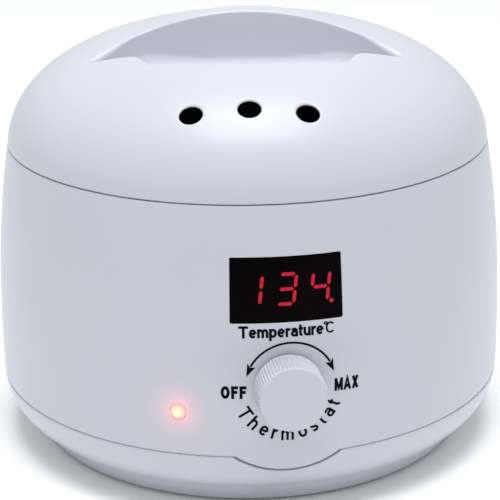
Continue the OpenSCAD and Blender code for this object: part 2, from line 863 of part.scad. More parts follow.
base_shell();
upper_shell();
rubber_feet();
base_screws();
cord_gland();
display_window();
display_module();
display_board();
display_screws();
indicator_lens();
indicator_lamp();
thermostat_body();
thermostat_bracket();
thermostat_bush();
thermostat_washer();
thermostat_nut();
heating_well();
well_screws();
band_heater();
heater_clamp();
clamp_screw();
heater_terminals();
insulation_disc();
deflector_plate();
stud_nuts();
heat_shield();
thermal_fuse();
fuse_clip();
temperature_probe();
probe_clip();
earth_tag();
control_board();
transformer();
capacitor();
relay();
board_screws();
terminal_block();
terminal_screws();
power_wiring();
signal_wiring();
wax_pot();
pot_ears();
ear_rivets();
pot_bail();
lid_shell();
knob();
thermostat_spindle();
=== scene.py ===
import math

import bpy
import numpy as np
from mathutils import Matrix, Vector
from mathutils.geometry import delaunay_2d_cdt


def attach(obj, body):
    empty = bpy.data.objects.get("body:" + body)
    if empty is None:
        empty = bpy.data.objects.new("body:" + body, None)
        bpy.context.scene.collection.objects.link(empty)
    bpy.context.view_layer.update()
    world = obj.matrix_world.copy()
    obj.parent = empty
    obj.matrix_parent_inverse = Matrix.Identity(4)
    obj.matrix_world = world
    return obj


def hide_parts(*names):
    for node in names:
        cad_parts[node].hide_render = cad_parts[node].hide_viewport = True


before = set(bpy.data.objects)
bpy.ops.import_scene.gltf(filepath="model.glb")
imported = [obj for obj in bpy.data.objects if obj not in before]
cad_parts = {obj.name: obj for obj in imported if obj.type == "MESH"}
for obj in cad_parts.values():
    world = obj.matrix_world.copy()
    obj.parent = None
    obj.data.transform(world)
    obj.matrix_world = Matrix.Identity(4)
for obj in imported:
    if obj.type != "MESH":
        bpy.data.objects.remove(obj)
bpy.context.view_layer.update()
scene = bpy.context.scene

MM = 0.001
rad = math.radians


def placed(name, data):
    """A new object in the scene."""
    obj = bpy.data.objects.new(name, data)
    scene.collection.objects.link(obj)
    return obj


# ---- camera

AZ, EL, DIST = rad(-7.7), rad(19.5), 0.5914
TARGET = Vector((0.0004, 0, 0.0569))
cam_data = bpy.data.cameras.new("camera")
camera = placed("camera", cam_data)
scene.camera = camera
cam_data.sensor_width = 36
cam_data.lens = 128.04
cam_data.clip_start, cam_data.clip_end = 0.01, 20
back = Vector((math.sin(AZ) * math.cos(EL), -math.cos(AZ) * math.cos(EL), math.sin(EL)))
camera.rotation_mode = "QUATERNION"
camera.location = TARGET + back * DIST
camera.rotation_quaternion = (
    (-back).to_track_quat("-Z", "Y").to_matrix() @ Matrix.Rotation(rad(-0.73), 3, "Z")
).to_quaternion()

# ---- sizes, in mm, as in the CAD

BODY_R, BODY_H, WALL = 82.5, 97.5, 2.4
WIDEST_Z = 34.0
TOP_IN, TOP_SPAN, TOP_POWER = 5.1, 63.5, 2.2  # how far the side comes in, over what height, and how late
LOW_IN, LOW_SPAN, LOW_POWER = 5.3, 24.3, 4.9
SHELL_BOTTOM, BASE_TOP = 21.3, 20.85
LEDGE_Z, WELL_HOLE_R = 92.4, 60.2
KNOB_Z, KNOB_R, KNOB_EDGE = 43.6, 10.2, 0.9
BUSH_HOLE_R = 5.1
TAB_R, TAB_GAP = 27.3, 0.8
TAB_BODY_R = 82.0  # the body's radius beside the tab
WIN_Z, WIN_W, WIN_H = 73.0, 33.0, 19.6
LAMP_A, LAMP_Z, LAMP_R = rad(-22.7), 35.1, 2.5
LID_TURN = rad(-7)
DOME_Z, DOME_H, DOME_R, DOME_P = 93.2, 41.5, 77.6, 2.3
CREST, ARCH_R = 138.5, 82.0
BAR_SIDE = -4.5  # how far forward the grip bar reaches
SCOOP_R, SCOOP_Y, SCOOP_Z = 32.0, -14.0, 150.8  # the scoops' bowl: its radius, and its axis
LID_RIM = 97.9
VENT_ROW, VENT_PITCH, VENT_D = 60.9, 16.9, 7.0
VENT_LEAN, VENT_EDGE, VENT_RELIEF = rad(33), 1.0, 1.5
VENT_SIDES = 48


def side_r(z):
    """The body's outside radius at a height."""
    z = np.asarray(z, float)
    high = BODY_R - TOP_IN * np.clip((z - WIDEST_Z) / TOP_SPAN, 0, None) ** TOP_POWER
    low = BODY_R - LOW_IN * np.clip((WIDEST_Z - z) / LOW_SPAN, 0, None) ** LOW_POWER
    return np.where(z > WIDEST_Z, high, low)


# ---- mesh helpers

BATCH = 4000


def unit(v):
    """Vectors at length 1."""
    return v / np.maximum(np.linalg.norm(v, axis=-1, keepdims=True), 1e-12)


def bare(name, verts, faces, body="warmer"):
    """A mesh piece from points in mm, flat shaded."""
    mesh = bpy.data.meshes.new(name)
    mesh.from_pydata((np.asarray(verts, float) * MM).tolist(), [], [list(map(int, f)) for f in faces])
    mesh.update()
    obj = placed(name, mesh)
    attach(obj, body)
    return obj


def make(name, verts, faces, normals, body="warmer"):
    """A mesh piece from points in mm, with its own smooth normals."""
    obj = bare(name, verts, faces, body)
    obj.data.shade_smooth()
    obj.data.normals_split_custom_set_from_vertices(unit(np.asarray(normals, float)).tolist())
    return obj


def weighted_normals(verts, faces):
    """Vertex normals in which wide faces count for more, so narrow roundings don't darken flats."""
    verts = np.asarray(verts, float)
    total = np.zeros_like(verts)
    for f in faces:
        p = verts[list(f)]
        n = np.zeros(3)
        for i in range(1, len(f) - 1):
            n += np.cross(p[i] - p[0], p[i + 1] - p[0])
        total[list(f)] += n
    return unit(total)


def ring(first, second, flip=False):
    """The strip between two loops with the same number of points."""
    n = len(first)
    verts = np.vstack([first, second])
    faces = [[i, (i + 1) % n, n + (i + 1) % n, n + i] for i in range(n)]
    if flip:
        faces = [f[::-1] for f in faces]
    return verts, faces, weighted_normals(verts, faces)


def merge(groups):
    """Several (verts, faces) as one."""
    faces, start = [], 0
    for v, f in groups:
        faces += [[i + start for i in face] for face in f]
        start += len(v)
    return np.vstack([v for v, _ in groups]), faces


def join(parts):
    """Several (verts, faces, normals) as one."""
    verts, faces = merge([(v, f) for v, f, _ in parts])
    return verts, faces, np.vstack([n for _, _, n in parts])


def revolve(runs, count=240):
    """Surfaces of revolution from runs of (r, z), each smooth inside itself. Runs meet at sharp lines."""
    parts = []
    for run in runs:
        run = np.asarray(run, float)
        seg = np.diff(run, axis=0)
        length = np.linalg.norm(seg, axis=1, keepdims=True)
        seg_n = np.stack([seg[:, 1], -seg[:, 0]], 1) / np.maximum(length, 1e-9)
        n2 = np.zeros_like(run)
        n2[:-1] += seg_n * length
        n2[1:] += seg_n * length
        n2[0], n2[-1] = seg_n[0], seg_n[-1]
        n2 = unit(n2)
        a = np.arange(count) * 2 * math.pi / count
        ca, sa = np.cos(a), np.sin(a)
        v = np.stack([np.outer(ca, run[:, 0]), np.outer(sa, run[:, 0]), np.tile(run[:, 1], (count, 1))], -1)
        n = np.stack([np.outer(ca, n2[:, 0]), np.outer(sa, n2[:, 0]), np.tile(n2[:, 1], (count, 1))], -1)
        k = len(run)
        faces = []
        for i in range(count):
            j = (i + 1) % count
            for m in range(k - 1):
                faces.append([i * k + m, j * k + m, j * k + m + 1, i * k + m + 1])
        parts.append((v.reshape(-1, 3), faces, n.reshape(-1, 3)))
    return join(parts)


def bow(cx, cy, rx, ry, a0, a1, n=14):
    """Points of an elliptical arc in a plane, from one angle to another in degrees."""
    turns = [rad(a0 + (a1 - a0) * i / n) for i in range(n + 1)]
    return [(cx + rx * math.cos(a), cy + ry * math.sin(a)) for a in turns]


def arc2(cx, cz, r, a0, a1, n=6):
    """Points of an arc in a plane, from one angle to another in degrees."""
    return bow(cx, cz, r, r, a0, a1, n)


def inside(points, loop):
    """Which points are inside a closed loop, both in a plane."""
    x, y = points[:, 0][:, None], points[:, 1][:, None]
    a, b = loop, np.roll(loop, -1, axis=0)
    crosses = (a[:, 1] > y) != (b[:, 1] > y)
    with np.errstate(divide="ignore", invalid="ignore"):
        at = (b[:, 0] - a[:, 0]) * (y - a[:, 1]) / (b[:, 1] - a[:, 1]) + a[:, 0]
    return (np.sum(crosses & (x < at), axis=1) % 2).astype(bool)


def segment_distance(points, a, b):
    """Distance from each point to the nearest of the segments from a to b, a batch of points at a time."""
    ab = b - a
    out = []
    for s in range(0, len(points), BATCH):
        p = points[s:s + BATCH][:, None, :]
        t = np.clip(np.sum((p - a) * ab, -1) / np.maximum(np.sum(ab * ab, -1), 1e-12), 0, 1)
        out.append(np.linalg.norm(p - (a + t[..., None] * ab), axis=-1).min(1))
    return np.concatenate(out)


def loop_distance(points, loop):
    """Distance from each point to a closed loop."""
    return segment_distance(points, loop, np.roll(loop, -1, axis=0))


def line_distance(points, line):
    """Distance from each point to an open line."""
    return segment_distance(points, line[:-1], line[1:])


def gather(pieces):
    """Points in a plane from (points, whether they are a loop kept as edges), and those loops' indices."""
    loops, start = [], 0
    for p, loop in pieces:
        if loop:
            loops.append(list(range(start, start + len(p))))
        start += len(p)
    return np.vstack([p for p, _ in pieces]), loops


def triangulate(points, loops, outer, holes):
    """Triangles over points in a plane. The outer line and the holes bound the area."""
    edges = [(l[i], l[(i + 1) % len(l)]) for l in loops for i in range(len(l))]
    vs, _, tris, _, _, _ = delaunay_2d_cdt([Vector(p) for p in points.tolist()], edges, [], 0, 1e-7)
    vs = np.array([tuple(v) for v in vs])
    tris = np.array([t for t in tris if len(t) == 3])
    centre = vs[tris].mean(1)
    keep = inside(centre, outer)
    for h in holes:
        keep &= ~inside(centre, h)
    tris = tris[keep]
    p = vs[tris]
    area = np.cross(p[:, 1] - p[:, 0], p[:, 2] - p[:, 0])
    tris = tris[np.abs(area) > 1e-9]
    area = area[np.abs(area) > 1e-9]
    tris[area < 0] = tris[area < 0][:, ::-1]
    return vs, tris


def surface(func, points, tris, flip=False, h=0.02):
    """The mesh of a function of two numbers, with its true normals."""
    du, dv = np.array([h, 0]), np.array([0, h])
    v = func(points)
    n = np.cross(func(points + du) - func(points - du), func(points + dv) - func(points - dv))
    n = unit(n)
    if flip:
        return v, tris[:, ::-1], -n
    return v, tris, n


def rounding(d, r):
    """How far a rounded edge of radius r has dropped at a distance d from the edge."""
    d = np.clip(d, 0, r)
    return r - np.sqrt(np.maximum(r * r - (r - d) ** 2, 0))


def skirt_down(loop3, direction, depth, steps=2):
    """The wall of a hole: a closed loop carried along a direction, with normals square to it."""
    n = len(loop3)
    loop3 = np.asarray(loop3, float)
    along = unit(np.roll(loop3, -1, axis=0) - np.roll(loop3, 1, axis=0))
    direction = np.broadcast_to(np.asarray(direction, float), loop3.shape)
    nor = unit(np.cross(direction, along))
    verts = np.vstack([loop3 + direction * depth * s / steps for s in range(steps + 1)])
    normals = np.vstack([nor] * (steps + 1))
    faces = []
    for s in range(steps):
        for i in range(n):
            j = (i + 1) % n
            q = [s * n + i, s * n + j, (s + 1) * n + j, (s + 1) * n + i]
            p = verts[q]
            f = np.cross(p[1] - p[0], p[2] - p[0])
            faces.append(q if np.dot(f, nor[i]) > 0 else q[::-1])
    return verts, faces, normals


def circle2(r, n, cx=0.0, cy=0.0):
    """Points of a circle in a plane."""
    a = np.arange(n) * 2 * math.pi / n
    return np.stack([cx + r * np.cos(a), cy + r * np.sin(a)], 1)


def round_rect(hw, hh, r):
    """A rectangle with rounded corners, anticlockwise, with points along its straight sides too."""
    pts = []
    for sx, sy, a0 in ((1, 1, 0), (-1, 1, 90), (-1, -1, 180), (1, -1, 270)):
        pts += arc2(sx * (hw - r), sy * (hh - r), r, a0, a0 + 90, 7)
    out = []
    for i, p in enumerate(pts):
        q = pts[(i + 1) % len(pts)]
        gap = math.dist(p, q)
        steps = max(1, round(gap / 1.6)) if gap > 2.4 else 1
        for s in range(steps):
            t = s / steps
            out.append((p[0] + (q[0] - p[0]) * t, p[1] + (q[1] - p[1]) * t))
    return np.array(out)


# ---- materials


def clear(name):
    """A new material, with its node tree and its shader."""
    m = bpy.data.materials.new(name)
    m.use_nodes = True
    nt = m.node_tree
    bsdf = nt.nodes["Principled BSDF"]
    return m, nt, bsdf


def add(nt, kind, **values):
    """A new node, with inputs or settings given by name."""
    node = nt.nodes.new(kind)
    for key, value in values.items():
        if key in node.inputs:
            node.inputs[key].default_value = value
        else:
            setattr(node, key, value)
    return node


def noise(nt, scale, detail=3, stretch=None):
    """Noise over the piece's own coordinates."""
    coord = add(nt, "ShaderNodeTexCoord")
    tex = add(nt, "ShaderNodeTexNoise", Scale=scale, Detail=detail, Roughness=0.5)
    if stretch:
        mapping = add(nt, "ShaderNodeMapping")
        mapping.inputs["Scale"].default_value = stretch
        nt.links.new(coord.outputs["Object"], mapping.inputs["Vector"])
        nt.links.new(mapping.outputs["Vector"], tex.inputs["Vector"])
    else:
        nt.links.new(coord.outputs["Object"], tex.inputs["Vector"])
    return tex


def ramp(nt, source, stops):
    """A colour ramp over a value, from (place, colour) pairs."""
    r = add(nt, "ShaderNodeValToRGB")
    el = r.color_ramp.elements
    while len(el) < len(stops):
        el.new(0.5)
    for e, (pos, col) in zip(el, stops):
        e.position = pos
        e.color = (*col, 1) if len(col) == 3 else col
    nt.links.new(source, r.inputs["Fac"])
    return r


def finish_of(name, colour, vary, scale, roughness, rough_vary, bump, bump_scale, bump_mm,
              metallic=0.0, stretch=None, ior=1.5, coat=0.0, coat_roughness=0.03, specular=0.5):
    """A material with mottled colour, uneven roughness and a fine surface texture."""
    m, nt, bsdf = clear(name)
    colour = np.array(colour, float)
    a = tuple(np.clip(colour * (1 - vary), 0, 1))
    b = tuple(np.clip(colour * (1 + vary), 0, 1))
    mottle = noise(nt, scale, 4, stretch=stretch)
    tint = ramp(nt, mottle.outputs["Fac"], [(0.3, a), (0.7, b)])
    nt.links.new(tint.outputs["Color"], bsdf.inputs["Base Color"])
    patch = noise(nt, 140, 3, stretch=stretch)
    span = add(nt, "ShaderNodeMapRange")
    span.inputs["To Min"].default_value = roughness - rough_vary
    span.inputs["To Max"].default_value = roughness + rough_vary
    nt.links.new(patch.outputs["Fac"], span.inputs["Value"])
    nt.links.new(span.outputs["Result"], bsdf.inputs["Roughness"])
    grain = noise(nt, bump_scale, 2, stretch=stretch)
    b_node = add(nt, "ShaderNodeBump", Strength=bump, Distance=bump_mm * MM)
    nt.links.new(grain.outputs["Fac"], b_node.inputs["Height"])
    nt.links.new(b_node.outputs["Normal"], bsdf.inputs["Normal"])
    bsdf.inputs["Metallic"].default_value = metallic
    bsdf.inputs["IOR"].default_value = ior
    bsdf.inputs["Specular IOR Level"].default_value = specular
    bsdf.inputs["Coat Weight"].default_value = coat
    bsdf.inputs["Coat Roughness"].default_value = coat_roughness
    return m


def glow(name, colour, middle=None, rim=None):
    """A lit surface, slightly uneven, or turning from its colour at a middle, in mm, to the rim's colour."""
    m, nt, bsdf = clear(name)
    colour = np.array(colour)
    if middle is None:
        tex = noise(nt, 900, 2)
        r = ramp(nt, tex.outputs["Fac"], [(0.3, tuple(colour * 0.8)), (0.7, tuple(colour))])
    else:
        coord = add(nt, "ShaderNodeTexCoord")
        away = add(nt, "ShaderNodeVectorMath", operation="DISTANCE")
        away.inputs[1].default_value = tuple(np.array(middle) * MM)
        nt.links.new(coord.outputs["Object"], away.inputs[0])
        share = add(nt, "ShaderNodeMapRange")
        share.inputs["From Max"].default_value = LAMP_R * MM
        nt.links.new(away.outputs["Value"], share.inputs["Value"])
        r = ramp(nt, share.outputs["Result"], [(0.0, tuple(colour)), (0.42, tuple(colour)), (1.0, rim)])
    dim = add(nt, "ShaderNodeMix", data_type="RGBA")
    dim.inputs["Factor"].default_value = 0.96
    dim.inputs["B"].default_value = (0.0, 0.0, 0.0, 1)
    nt.links.new(r.outputs["Color"], dim.inputs["A"])
    nt.links.new(dim.outputs["Result"], bsdf.inputs["Base Color"])
    nt.links.new(r.outputs["Color"], bsdf.inputs["Emission Color"])
    bsdf.inputs["Emission Strength"].default_value = 1.0
    bsdf.inputs["Specular IOR Level"].default_value = 0.1
    bsdf.inputs["Roughness"].default_value = 0.5
    return m


LAMP_BULGE = 1.2
lamp_r = float(side_r(LAMP_Z)) - 0.25  # where the lamp's lens comes out of the body


def before_lamp(out):
    """A point straight out from the lamp, in mm."""
    r = lamp_r + out
    return r * math.sin(LAMP_A), -r * math.cos(LAMP_A), LAMP_Z


LAMP_TIP = before_lamp(LAMP_BULGE)
BODY_WHITE = (0.522, 0.546, 0.606)
# Each finish: colour, its unevenness and scale, roughness and its unevenness, bump and its scale and height
FINISHES = {
    "white_plastic": (BODY_WHITE, 0.012, 25, 0.36, 0.03, 0.05, 1500, 0.01),
    "base_plastic": (BODY_WHITE, 0.015, 25, 0.3, 0.04, 0.06, 1500, 0.012),
    "dark_window": ((0.0022, 0.0012, 0.0018), 0.3, 40, 0.2, 0.04, 0.02, 900, 0.01),
    "feet_rubber": ((0.05, 0.05, 0.055), 0.2, 200, 0.75, 0.08, 0.5, 1600, 0.05),
    "board_green": ((0.02, 0.16, 0.07), 0.25, 300, 0.4, 0.06, 0.3, 1200, 0.03),
    "pot_aluminium": ((0.56, 0.57, 0.585), 0.05, 120, 0.34, 0.08, 0.25, 500, 0.02),
    "plated_steel": ((0.62, 0.63, 0.65), 0.06, 200, 0.28, 0.07, 0.2, 900, 0.02),
    "brass": ((0.72, 0.5, 0.2), 0.08, 200, 0.3, 0.07, 0.2, 900, 0.02),
    "thermostat_block": ((0.5, 0.36, 0.22), 0.08, 150, 0.55, 0.06, 0.3, 900, 0.03),
    "mica": ((0.42, 0.34, 0.24), 0.25, 90, 0.45, 0.1, 0.4, 500, 0.06),
    "felt": ((0.7, 0.68, 0.62), 0.15, 500, 0.95, 0.04, 0.9, 1400, 0.25),
    "sensor_body": ((0.6, 0.6, 0.58), 0.1, 200, 0.4, 0.08, 0.2, 900, 0.02),
    "transformer_tape": ((0.75, 0.6, 0.08), 0.08, 200, 0.4, 0.06, 0.2, 700, 0.03),
    "capacitor_sleeve": ((0.03, 0.05, 0.12), 0.15, 200, 0.35, 0.06, 0.1, 700, 0.02),
    "relay_case": ((0.03, 0.12, 0.42), 0.1, 200, 0.4, 0.06, 0.1, 900, 0.02),
    "terminal_plastic": ((0.62, 0.62, 0.58), 0.06, 200, 0.5, 0.06, 0.2, 900, 0.02),
    "mains_wire": ((0.45, 0.45, 0.46), 0.1, 200, 0.5, 0.06, 0.3, 900, 0.03),
    "signal_wire": ((0.55, 0.05, 0.04), 0.12, 200, 0.5, 0.06, 0.3, 900, 0.03),
    "printed_ink": ((0.003, 0.003, 0.008), 0.25, 500, 0.6, 0.1, 0.2, 1500, 0.01),
    "pale_floor": ((0.98, 0.98, 0.98), 0.005, 3, 0.8, 0.05, 0.0, 100, 0.02),
}
EXTRAS = {
    "white_plastic": {"ior": 1.42, "coat": 0.05, "coat_roughness": 0.14},
    "base_plastic": {"coat": 0.2, "coat_roughness": 0.12},
    "dark_window": {"ior": 1.2, "specular": 0.08},
    "printed_ink": {"specular": 0.03},
    "pot_aluminium": {"metallic": 1.0, "stretch": (0.15, 0.15, 6)},
    "plated_steel": {"metallic": 1.0},
    "brass": {"metallic": 1.0},
}
mats = {name: finish_of(name, *values, **EXTRAS.get(name, {})) for name, values in FINISHES.items()}
mats["display_red"] = glow("display_red", (0.58, 0.012, 0.04))
mats["lamp_red"] = glow("lamp_red", (1.0, 0.93, 0.65), LAMP_TIP, (0.86, 0.5, 0.48))


def wear(obj, slot):
    """Give a piece its slot's material."""
    obj.data.materials.clear()
    obj.data.materials.append(mats[slot])


SLOT_NODES = {
    "base_plastic": "base_shell",
    "white_plastic": "upper_shell lid_shell knob",
    "feet_rubber": "rubber_feet cord_gland",
    "dark_window": "display_window",
    "display_red": "display_module",
    "lamp_red": "indicator_lens",
    "board_green": "display_board control_board",
    "plated_steel": "base_screws display_screws thermostat_bracket thermostat_washer well_screws "
                    "heater_clamp clamp_screw deflector_plate stud_nuts fuse_clip probe_clip "
                    "board_screws pot_bail thermostat_spindle",
    "brass": "thermostat_bush thermostat_nut heater_terminals earth_tag terminal_screws",
    "pot_aluminium": "heating_well wax_pot pot_ears ear_rivets",
    "thermostat_block": "thermostat_body",
    "mica": "band_heater heat_shield",
    "felt": "insulation_disc",
    "sensor_body": "thermal_fuse temperature_probe",
    "transformer_tape": "transformer",
    "capacitor_sleeve": "capacitor",
    "relay_case": "relay",
    "terminal_plastic": "indicator_lamp terminal_block",
    "mains_wire": "power_wiring",
    "signal_wire": "signal_wiring",
}
for slot, nodes in SLOT_NODES.items():
    for node in nodes.split():
        wear(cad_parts[node], slot)

# ---- shells

S_SCALE = BODY_R  # the panel plane is (azimuth times this, height), azimuth 0 to the front
FAR = math.pi * S_SCALE  # the back of the body in the panel plane
ROUND = 0.2  # small rounding on the shells' edges


def hull(points):
    """Points of the panel plane on the outside of the body."""
    a, z = points[:, 0] / S_SCALE, points[:, 1]
    r = side_r(z)
    return np.stack([r * np.sin(a), -r * np.cos(a), z], 1)


def hull_normal(points):
    """The body's outward direction at points of the panel plane."""
    a, z = points[:, 0] / S_SCALE, points[:, 1]
    slope = (side_r(z + 0.01) - side_r(z - 0.01)) / 0.02
    return unit(np.stack([np.sin(a), -np.cos(a), -slope], 1))


def tab_edge(s, grow, seam):
    """Height of the seam's edge below the knob, for a tab of radius TAB_R + grow."""
    a = np.asarray(s, float) / S_SCALE
    x = TAB_BODY_R * np.sin(a)
    r = TAB_R + grow
    low = KNOB_Z - np.sqrt(np.maximum(r * r - x * x, 0))
    ahead = np.abs(a) < 1.2
    return np.where(ahead & (np.abs(x) < r) & (low < seam), low, seam)


def edge_line(grow, seam):
    """The seam's edge all the way round, with points at the tab's corners."""
    r = TAB_R + grow
    corner = math.asin(math.sqrt(max(r * r - (KNOB_Z - seam) ** 2, 0)) / TAB_BODY_R) * S_SCALE
    side_pts = np.linspace(corner, FAR, 92)
    mid = np.linspace(-corner, corner, 41)
    s = np.concatenate([-side_pts[::-1], mid[1:-1], side_pts])
    return np.stack([s, tab_edge(s, grow, seam)], 1)


def grid(s0, s1, z0, z1, ds, dz):
    """An even grid of points over a rectangle, both its edges included."""
    s = np.linspace(s0, s1, max(2, round((s1 - s0) / ds) + 1))
    z = np.linspace(z0, z1, max(2, round((z1 - z0) / dz) + 1))
    return np.stack(np.meshgrid(s, z, indexing="ij"), -1).reshape(-1, 2)


OFFSETS = (0.0, 0.03, 0.1, 0.2, 0.35, 0.8)  # rings of points beside an edge
RIM_Z = BODY_H - 0.8  # where the side stops and the turned top edge starts
upper_loops = [lambda e: round_rect(WIN_W / 2 + 0.42 + e, WIN_H / 2 + e, 0.45 + e) + (0, WIN_Z),
               lambda e: circle2(LAMP_R + 0.1 + e, 36, LAMP_A * S_SCALE, LAMP_Z),
               lambda e: circle2(BUSH_HOLE_R + e, 36, 0, KNOB_Z)]


def upper_points():
    """The upper shell's points in the panel plane, the loops kept as edges, and its outline."""
    bottom = edge_line(0, SHELL_BOTTOM)
    top = np.stack([np.linspace(FAR, -FAR, 181), np.full(181, RIM_Z)], 1)
    z_side = np.linspace(SHELL_BOTTOM, RIM_Z, 27)[1:-1]
    right = np.stack([np.full(25, FAR), z_side], 1)
    left = np.stack([np.full(25, -FAR), z_side[::-1]], 1)
    outer = np.vstack([bottom, right, top, left])
    pieces = [(outer, True)] + [(edge_line(-e, SHELL_BOTTOM + e)[1:-1], False) for e in OFFSETS[1:]]
    pieces += [(loop(e), True) for loop in upper_loops for e in OFFSETS]
    fill = grid(-FAR, FAR, SHELL_BOTTOM, RIM_Z, 3.0, 2.9)
    fill = fill[(np.abs(fill[:, 0]) < FAR - 1) & (fill[:, 1] < BODY_H - 2)]
    fill = np.vstack([fill, grid(-17, 17, 16, 22, 2.0, 1.5)])  # more of them inside the tab
    fill = fill[inside(fill, outer)]
    fill = fill[loop_distance(fill, outer) > 1.2]
    for loop in upper_loops:
        rim = loop(OFFSETS[-1])
        fill = fill[~inside(fill, rim) & (loop_distance(fill, rim) > 0.9)]
    return *gather(pieces + [(fill, False)]), outer


holes0 = [loop(0.0) for loop in upper_loops]
SEAM_EDGE = edge_line(0, SHELL_BOTTOM)


def carried_on(line):
    """An edge's line, carried on past its two ends at the back."""
    return np.vstack([line[:1] - (9, 0), line, line[-1:] + (9, 0)])


def upper_func(points):
    """The upper shell's outside, with its edges rounded."""
    d = line_distance(points, carried_on(SEAM_EDGE))
    for loop in holes0:
        d = np.minimum(d, loop_distance(points, loop))
    return hull(points) - hull_normal(points) * rounding(d, ROUND)[:, None]


pts, loops, outer = upper_points()
vs, tris = triangulate(pts, loops, outer, holes0)
parts = [surface(upper_func, vs, tris)]
for loop, depth in zip(holes0, (2.2, 2.2, WALL)):
    parts.append(skirt_down(upper_func(loop), -hull_normal(loop), depth))
# The lip under the shell's bottom edge, then the inside
lip = SEAM_EDGE[:-1]
lip3 = upper_func(lip)
parts.append(ring(lip3, lip3 - hull_normal(lip) * (WALL - ROUND), flip=True))
inner_r = float(side_r(BODY_H)) - WALL
rim = [(float(side_r(z)), z) for z in (RIM_Z - 0.05, RIM_Z)]
rim += arc2(float(side_r(BODY_H)) - 0.4, BODY_H - 0.4, 0.4, 4, 90, 8)
rim += arc2(inner_r + 0.4, BODY_H - 0.4, 0.4, 90, 180, 5)[1:]
wall_in = [(float(side_r(z)) - WALL, z) for z in np.linspace(90, SHELL_BOTTOM, 24)]
parts.append(revolve([rim + [(inner_r, 94), (inner_r, LEDGE_Z + 0.5)],
                      arc2(inner_r - 0.5, LEDGE_Z + 0.5, 0.5, 0, -90, 4) +
                      [(WELL_HOLE_R + 0.8, LEDGE_Z), (WELL_HOLE_R, LEDGE_Z)],
                      [(WELL_HOLE_R, LEDGE_Z), (WELL_HOLE_R, LEDGE_Z - WALL)],
                      [(WELL_HOLE_R, LEDGE_Z - WALL), (float(side_r(90)) - WALL, LEDGE_Z - WALL)], wall_in]))
upper = make("upper_shell_skin", *join(parts))
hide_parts("upper_shell")
wear(upper, "white_plastic")

# Base shell: its side up to the seam, with a cut-out that follows the tab
PROUD = 0.04  # the skin lies this far outside the base shell that it covers
BASE_GROW, BASE_EDGE_Z = TAB_GAP - 0.06, BASE_TOP + 0.03
BASE_EDGE = edge_line(BASE_GROW, BASE_EDGE_Z)


def base_func(points):
    """The base's outside, with its upper edge rounded."""
    d = line_distance(points, carried_on(BASE_EDGE))
    return hull(points) + hull_normal(points) * (PROUD - rounding(d, ROUND))[:, None]


side_z = 9.0  # below this the base's side is turned, not laid out in the panel plane
bottom = np.stack([np.linspace(-FAR, FAR, 181), np.full(181, side_z)], 1)
z_side = np.linspace(side_z, BASE_TOP, 8)[1:-1]
outer = np.vstack([bottom, np.stack([np.full(6, FAR), z_side], 1), BASE_EDGE[::-1],
                   np.stack([np.full(6, -FAR), z_side[::-1]], 1)])
lines = [(outer, True)] + [(edge_line(BASE_GROW + e, BASE_EDGE_Z - e)[1:-1], False) for e in OFFSETS[1:]]
fill = grid(-FAR, FAR, side_z, BASE_TOP, 3.0, 1.4)
fill = fill[np.abs(fill[:, 0]) < FAR - 1]
fill = fill[inside(fill, outer)]
fill = fill[loop_distance(fill, outer) > 1.1]
vs, tris = triangulate(*gather(lines + [(fill, False)]), outer, [])
parts = [surface(base_func, vs, tris)]
lip = BASE_EDGE[:-1]
lip3 = base_func(lip)
parts.append(ring(lip3, lip3 - hull_normal(lip) * (WALL - ROUND)))
# A tongue close behind the seam, so that the gap isn't seen through; it lies deeper below the knob
low_line, high_line = edge_line(TAB_GAP, BASE_TOP), edge_line(0, SHELL_BOTTOM)
depth = np.where(tab_edge(high_line[:, 0], 0, SHELL_BOTTOM) < SHELL_BOTTOM - 0.01, 1.5, 0.4)[:, None]
tongue = np.vstack([hull(q) - hull_normal(q) * depth for q in (low_line - (0, 0.3), high_line + (0, 0.3))])
count = len(low_line)
parts.append((tongue, [[i, i + 1, count + i + 1, count + i] for i in range(count - 1)],
              np.vstack([hull_normal(low_line), hull_normal(high_line)])))
# The side down to its lower edge, and the foot ring
low = [(float(side_r(z)) + PROUD, z) for z in np.linspace(7.7, side_z, 8)]
low.append((float(side_r(side_z + 0.05)) + PROUD, side_z + 0.05))
step = (low[0][0] - 0.12, 7.54)
ring_top = (73.27, 7.12)
parts.append(revolve([[(68.8, 0.76)] + arc2(69.0, 1.6, 0.84, -90, -31, 6)[1:] + [ring_top],
                      [ring_top, step], [step] + low]))
wear(make("base_shell_skin", *join(parts)), "base_plastic")

# ---- lid


def dome(r, inset=0.0):
    """Height of the lid's dome at a radius, or of the same dome set in."""
    t = np.clip(r / (DOME_R - inset), 0, 0.999999)
    return DOME_Z + (DOME_H - inset) * (1 - t ** DOME_P) ** (1 / DOME_P)


def curve(knots, start, end):
    """A smooth line through knots, with its directions at both ends and a point about every 1.15 mm."""
    k = np.array(knots, float)
    t = np.concatenate([[0], np.cumsum(np.linalg.norm(np.diff(k, axis=0), axis=1))])
    m = np.zeros_like(k)
    before, after = (k[1:-1] - k[:-2]) / np.diff(t)[:-1, None], (k[2:] - k[1:-1]) / np.diff(t)[1:, None]
    gap0, gap1 = np.diff(t)[:-1, None], np.diff(t)[1:, None]
    m[1:-1] = (before * gap1 + after * gap0) / (gap0 + gap1)
    m[0], m[-1] = unit(np.array(start, float)), unit(np.array(end, float))
    at = np.linspace(0, t[-1], round(t[-1] / 1.15) + 1)
    i = np.clip(np.searchsorted(t, at, "right") - 1, 0, len(k) - 2)
    span = (t[i + 1] - t[i])[:, None]
    u = ((at - t[i]) / span[:, 0])[:, None]
    return ((2 * u ** 3 - 3 * u ** 2 + 1) * k[i] + (u ** 3 - 2 * u ** 2 + u) * span * m[i]
            + (3 * u ** 2 - 2 * u ** 3) * k[i + 1] + (u ** 3 - u ** 2) * span * m[i + 1])


